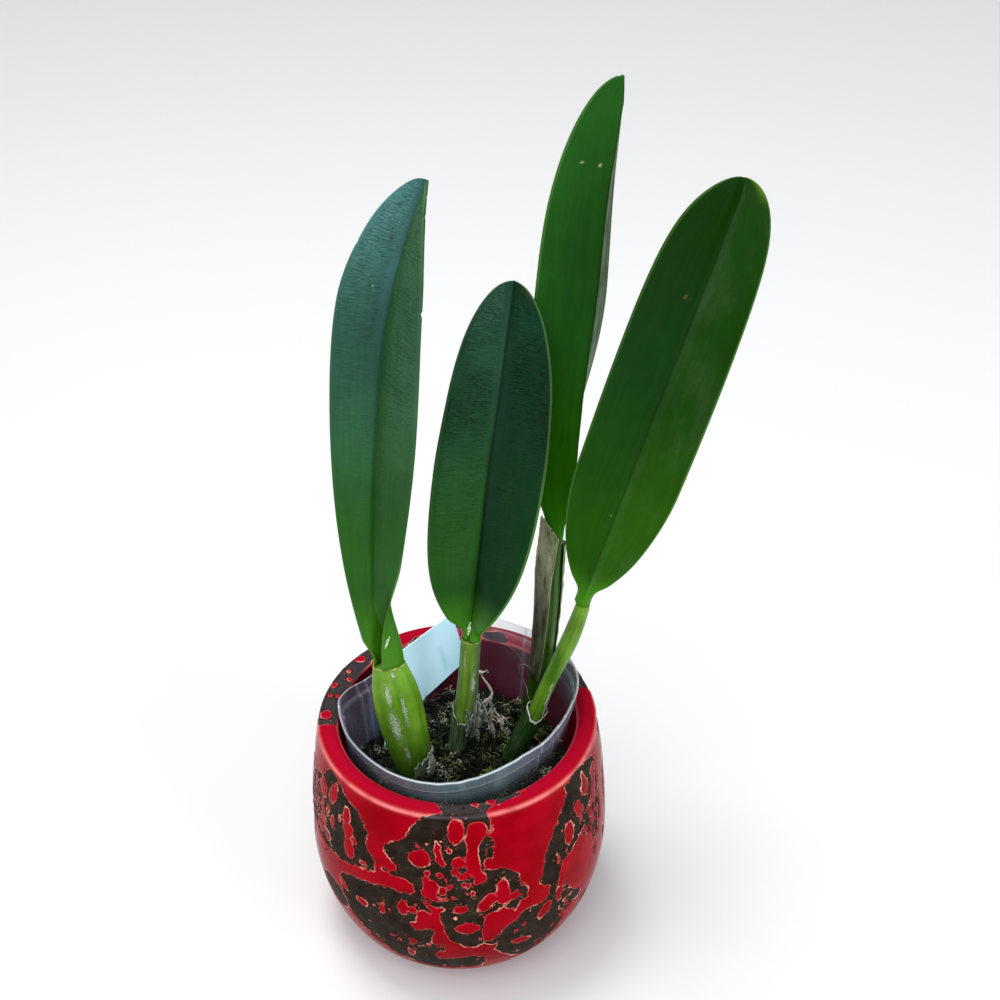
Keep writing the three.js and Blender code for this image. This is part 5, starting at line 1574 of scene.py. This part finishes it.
def make_scraps(name, strips, look):
    """Thin torn strips, each bent over its own way"""
    rows, columns = SCRAP_MESH
    share = np.linspace(0, 1, rows)
    place = np.linspace(-1, 1, columns)
    points, faces, edges, sideways, lengthwise = [], [], [], [], []
    for number, (way_points, halves, facing, bulge) in enumerate(strips):
        seed = name_seed(name) + 10 * number
        middle, way = smooth_curve(way_points, share), curve_way(way_points, share)
        turn = math.radians(facing)
        face = np.array([math.cos(turn), math.sin(turn), 0.0])
        face = unit(face - way * dot(face, way))
        side = np.cross(way, face)
        half = np.maximum(along(halves, share), 0.05)
        frays = [1 + 0.35 * ripple(seed + k, share * 5) + 0.15 * ripple(seed + 2 + k, share * 16)
                 for k in (0, 1)]
        reach = np.where(place < 0, frays[0][:, None], frays[1][:, None]) * half[:, None] * place
        lift = bulge * half[:, None] * (1 - place ** 2)
        lift = lift + 0.12 * ripple(seed + 5, share[:, None] * 9, reach / 2)
        sheet = middle[:, None] + side[:, None] * reach[..., None] + face[:, None] * lift[..., None]
        back = sheet - face[:, None] * SCRAP_THICKNESS
        start = len(points) * 2 * columns
        points += list(np.concatenate([sheet, back[:, ::-1]], 1))
        faces += [tuple(start + corner for corner in ring) for ring in loft_faces(rows, 2 * columns)]
        rim = np.maximum(ease(np.abs(place), 0.6, 1)[None, :], ease(np.abs(share - 0.5), 0.46, 0.5)[:, None])
        edges += list(there_and_back(rim))
        sideways += list(there_and_back(reach))
        lengthwise += list(np.repeat(share[:, None] * 15, 2 * columns, 1))
    piece = add_piece(name, points, faces)
    note(piece, "edge", edges)
    lay_map(piece, sideways, lengthwise)
    finish_piece(piece, paper_finish(name, look), "dry_sheath")


SCRAPS = {
    "torn_paper": (PAPER_SCRAPS, {
        "low": rgb(54, 62, 50), "high": rgb(122, 128, 116), "edge": rgb(184, 190, 178), "solid": 0.93,
        "streaks": 0.6}),
    "clear_scraps": (CLEAR_SCRAPS, {
        "low": rgb(110, 126, 104), "high": rgb(178, 188, 172), "edge": rgb(226, 230, 220), "solid": 0.55,
        "streaks": 0.4}),
    "leaf_flakes": (LEAF_FLAKES, {
        "low": rgb(176, 196, 150), "high": rgb(222, 232, 206), "edge": rgb(232, 238, 222), "solid": 0.9,
        "streaks": 0.3}),
}


# Label, dried root, rhizome and roots
def label_finish():
    """Pale blue plastic, a little smudged, with a painted glow for the light that shines through it"""
    material, shader, w, place = new_finish("label_plastic", 0.35)
    # A painted glow: the label gives off light of its own
    shader["Emission Color"].default_value = rgb(172, 228, 252)
    shader["Emission Strength"].default_value = 0.38
    tone = w.mottled(place, 40.0, rgb(206, 238, 248), rgb(226, 246, 252), 0.3)
    marks = w.group(FIBRES, map=surface_map(w), fineness=3.0, length=3.0, waviness=1.5)["Height"]
    smudge = w.times(w.ease(marks, 0.6, 0.75), 0.25)
    colour = w.blend(smudge, tone, rgb(150, 172, 182))
    # Painted shade darkens the crease
    w.feed(shader["Base Color"], w.blend(w.read("crease"), colour, rgb(150, 176, 190)))
    w.feed(shader["Normal"], w.bump(w.noise(place, 500.0, 3.0), 0.05))
    return material


def make_label():
    """A stiff strip with rounded edges, a little bowed and creased once"""
    level = unit(np.array([*LABEL_ALONG, 0.0]))
    outward = np.array([-level[1], level[0], 0])
    rise = unit(np.array([0, 0, 1.0]) + outward * LABEL_LEAN)
    across = np.cross(level, rise)
    sheet = bmesh.new()
    corners = [sheet.verts.new((x, y, 0)) for x, y in LABEL_OUTLINE]
    sheet.faces.new(corners)
    bmesh.ops.bevel(sheet, geom=sheet.verts[:], offset=LABEL_CORNERS, segments=3, affect="VERTICES")
    bmesh.ops.triangulate(sheet, faces=sheet.faces[:])
    bmesh.ops.subdivide_edges(sheet, edges=sheet.edges[:], cuts=9, use_grid_fill=True)
    whole = bmesh.ops.extrude_face_region(sheet, geom=sheet.faces[:])["geom"]
    for vert in (v for v in whole if isinstance(v, bmesh.types.BMVert)):
        vert.co.z += LABEL_THICKNESS
    bmesh.ops.recalc_face_normals(sheet, faces=sheet.faces[:])
    flat = np.array([v.co for v in sheet.verts])
    sheet.verts.index_update()
    faces = [tuple(v.index for v in f.verts) for f in sheet.faces]
    sheet.free()
    x, y = flat[:, 0], flat[:, 1]
    crease = hump(x - 12.5 + 0.25 * (y - 16), 0.35) * ease(y, 6, 9) * (1 - ease(y, 22, 25))
    bow = 0.0006 * (x ** 2) + 0.25 * ripple(5, x / 40, y / 30) - 0.25 * crease
    depth = flat[:, 2] - LABEL_THICKNESS / 2 + bow
    points = np.array(LABEL_CORNER) + flat[:, :1] * level + flat[:, 1:2] * rise + depth[:, None] * across
    piece = add_piece("label_strip", points, faces)
    note(piece, "crease", crease * 0.6)
    lay_map(piece, x, y)
    finish_piece(piece, label_finish(), "label_plastic", "plant_label")


def wandering(path, radii, steps, sway, seed):
    """A smooth path with small random bends and swellings"""
    random = np.random.default_rng(seed)
    share = np.linspace(0, 1, steps)
    points = smooth_curve(path, share)
    shift = np.stack([ripple(int(random.integers(999)), share * 3) for _ in range(3)], 1)
    points = points + shift * sway * np.sin(math.pi * share)[:, None]
    thick = along(radii, share) * (1 + 0.18 * ripple(int(random.integers(999)), share * 9))
    return [tuple(p) for p in points], [float(r) for r in thick]


ROOT_TWIGS = [
    ([(12.8, 12, 89.8), (14.9, 12, 88.1), (16.5, 12, 85.3), (17.8, 12, 83.6), (17, 12, 79.6)], 0.4),
    ([(12.6, 12, 90), (10.6, 11.4, 86.8), (11.6, 11, 83.4), (12.4, 10.4, 79)], 0.4),
    ([(13.1, 12.6, 95.4), (10.8, 12, 92.6), (8.7, 12, 91.5)], 0.4),
    ([(9.4, 12.2, 92), (6.8, 12.6, 91), (5.6, 12, 88.5)], 0.3),
    ([(16, 12.4, 84.5), (18.6, 11.6, 85.2), (20.4, 11.4, 82.4)], 0.3),
    ([(10.4, 15.8, 105.6), (12.4, 15.4, 106.8), (13.6, 15.6, 106)], 0.4),
    ([(12.7, 11.8, 85), (13.8, 9.8, 81), (14, 8.2, 77.5)], 0.4),
]
ROOT_GRAIN = (0.4, 1100.0, 5.0, 0.65, 0.3)
ROOT_THINNING = 0.72  # how thick the CAD part's twigs are drawn here
ROOTLETS = 110
ROOT_LEAN = 1.7  # how far its top leans left of the CAD part's


def make_dried_root(sheets):
    """The dead root with its twigs and rootlets"""
    skin = grainy_finish("dried_root_skin", 0.75, (330.0, rgb(142, 134, 122), rgb(240, 232, 220), 0.2),
                         ROOT_GRAIN)
    paths = [wandering(path, [ROOT_THINNING * r for r in radii], 34, 0.5, 40 + i)
             for i, (path, radii) in enumerate(DRIED_ROOT)]
    paths += [wandering(path, [size, size * 0.8, size * 0.4], 18, 0.4, 60 + i)
              for i, (path, size) in enumerate(ROOT_TWIGS)]
    random = np.random.default_rng(33)
    grown = list(paths)
    for _ in range(ROOTLETS):
        stem_points, _ = grown[random.integers(len(grown))]
        start = np.array(stem_points[random.integers(len(stem_points))])
        if start[2] > 97:
            continue
        way = unit(random.normal(size=3) * (1, 0.7, 1)) * random.uniform(0.7, 2.2)
        bend = random.normal(size=3) * 0.5
        thick = random.uniform(0.14, 0.3)
        paths.append(([tuple(start), tuple(start + way * 0.55 + bend * 0.5), tuple(start + way + bend)],
                      [thick, thick * 0.9, thick * 0.6]))
    knob = np.array(DRIED_KNOB)
    knob_path = [knob - (1.5, 0.2, 0.6), knob, knob + (1.2, 0.1, 0.2)]
    paths.append(wandering(knob_path, [0.6, 1.05, 0.5], 12, 0.1, 80))
    paths = [([(x - ROOT_LEAN * float(ease(z, 96, 104)), y, z) for x, y, z in path], radii)
             for path, radii in paths]
    make_strand_piece("dried_root_twigs", paths, sheets, (0.35, 8, skin), "dried_root_skin", "dried_root")


def make_rhizome(sheets):
    """The creeping stem in the mix, and the roots that hang from it"""
    skin = grainy_finish("rhizome_skin", 0.75, (330.0, rgb(70, 66, 34), rgb(118, 112, 66), 0.2), ROOT_GRAIN)
    random = np.random.default_rng(12)
    paths = [wandering(RHIZOME, RHIZOME_RADII, 60, 0.0, 90)]
    for i, start in enumerate(ROOT_STARTS):
        bearing = math.atan2(start[1], start[0]) + random.uniform(-0.4, 0.4)
        path = [start]
        for share in (0.3, 0.6, 1.0):
            away = math.hypot(start[0], start[1]) * (1 - share) + 22 * share
            swing = bearing + random.uniform(-0.3, 0.3)
            path.append((away * math.cos(swing), away * math.sin(swing), start[2] - 34 * share))
        paths.append(wandering(path, [1.7, 1.5, 1.1], 24, 0.4, 100 + i))
    make_strand_piece("rhizome_and_roots", paths, sheets, (0.2, 14, skin), "rhizome_skin", "rhizome")


# The surroundings: each lamp's place, size, power and colour
LAMPS = {
    "overhead": ((-0.2, 0.15, 1.3), (0.45, 0.3), 7, (1.0, 0.99, 0.97)),
    "window": ((1.0, -0.8, 0.45), (0.6, 0.6), 7, (0.84, 0.93, 1.0)),
}
LIT_PLACE = (0.0, 0.0, 0.12)
CEILING_POWER, CEILING_SPREAD, CEILING_WAY = 1.5, 70, (0.4, 0.55, -1.0)
ROOM_COLOUR, ROOM_STRENGTH = (0.93, 0.96, 1.0, 1), 0.4
FLOOR_HALF = 6.0
FLOOR_COLOUR = (0.86, 0.86, 0.86, 1)


def add_floor():
    """A wide pale floor"""
    mesh = bpy.data.meshes.new("floor")
    corners = [(x * FLOOR_HALF, y * FLOOR_HALF, 0) for x, y in ((-1, -1), (1, -1), (1, 1), (-1, 1))]
    mesh.from_pydata(corners, [], [(0, 1, 2, 3)])
    floor = put_in_scene("floor", mesh)
    material, shader, _, _ = new_finish("pale_floor", 0.8)
    shader["Base Color"].default_value = FLOOR_COLOUR
    mesh.materials.append(material)


def add_lamp(name, kind, power, way):
    """A light that shines along a way"""
    light = bpy.data.lights.new(name, kind)
    light.energy = power
    lamp = put_in_scene(name, light)
    lamp.rotation_euler = way.to_track_quat("-Z", "Y").to_euler()
    return lamp


def add_lights():
    """Two large lamps, and soft even light from the upper left, as from a large pale ceiling"""
    for name, (place, size, power, colour) in LAMPS.items():
        lamp = add_lamp(name, "AREA", power, Vector(LIT_PLACE) - Vector(place))
        lamp.location = place
        lamp.data.shape = "RECTANGLE"
        lamp.data.size, lamp.data.size_y = size
        lamp.data.color = colour
    ceiling = add_lamp("ceiling", "SUN", CEILING_POWER, Vector(CEILING_WAY))
    ceiling.data.angle = math.radians(CEILING_SPREAD)


def add_camera():
    """The photograph's view"""
    camera = bpy.data.cameras.new("camera")
    camera.sensor_width = SENSOR
    camera.lens = SENSOR / 2 / math.tan(math.radians(VIEW_WIDTH / 2))
    camera.clip_start = 0.01
    holder = put_in_scene("camera", camera)
    holder.location = VIEW_PLACE
    holder.rotation_euler = (math.radians(90 - VIEW_DOWN), 0, 0)
    bpy.context.scene.camera = holder


def add_world():
    """Pale even light from all sides"""
    world = bpy.data.worlds.new("soft_room")
    world.use_nodes = True
    back = next(n for n in world.node_tree.nodes if n.type == "BACKGROUND")
    back.inputs["Color"].default_value = ROOM_COLOUR
    back.inputs["Strength"].default_value = ROOM_STRENGTH
    bpy.context.scene.world = world
    bpy.context.scene.view_settings.view_transform = "Standard"


add_camera()
add_world()
add_floor()
add_lights()

damp_bark = grainy_finish("damp_bark", 0.75, (260.0, rgb(8, 8, 6), rgb(30, 26, 18), 0.2),
                          (1.0, 600.0, 6.0, 0.7, 0.6))
finishes = {"mix": damp_bark, "moss": moss_finish(),
            "strands": grainy_finish("dry_strands", 0.7, (150.0, rgb(84, 84, 62), rgb(176, 174, 146))),
            "moss_tree": moss_tree(), "strand_tree": strand_tree()}
make_ceramic_pot()
make_grow_pot()
make_mix(finishes)
make_strands(finishes)
make_rhizome(finishes)
for part_name, part_stem in STEMS.items():
    make_bulb(part_name, part_stem)
    make_leaf(part_name, LEAVES[part_name], part_stem)
    make_sheath(part_name, part_stem, SHEATHS[part_name])
make_joint_lines(finishes)
for scrap_name, (scrap_strips, scrap_look) in SCRAPS.items():
    make_scraps(scrap_name, scrap_strips, scrap_look)
make_label()
make_dried_root(finishes)
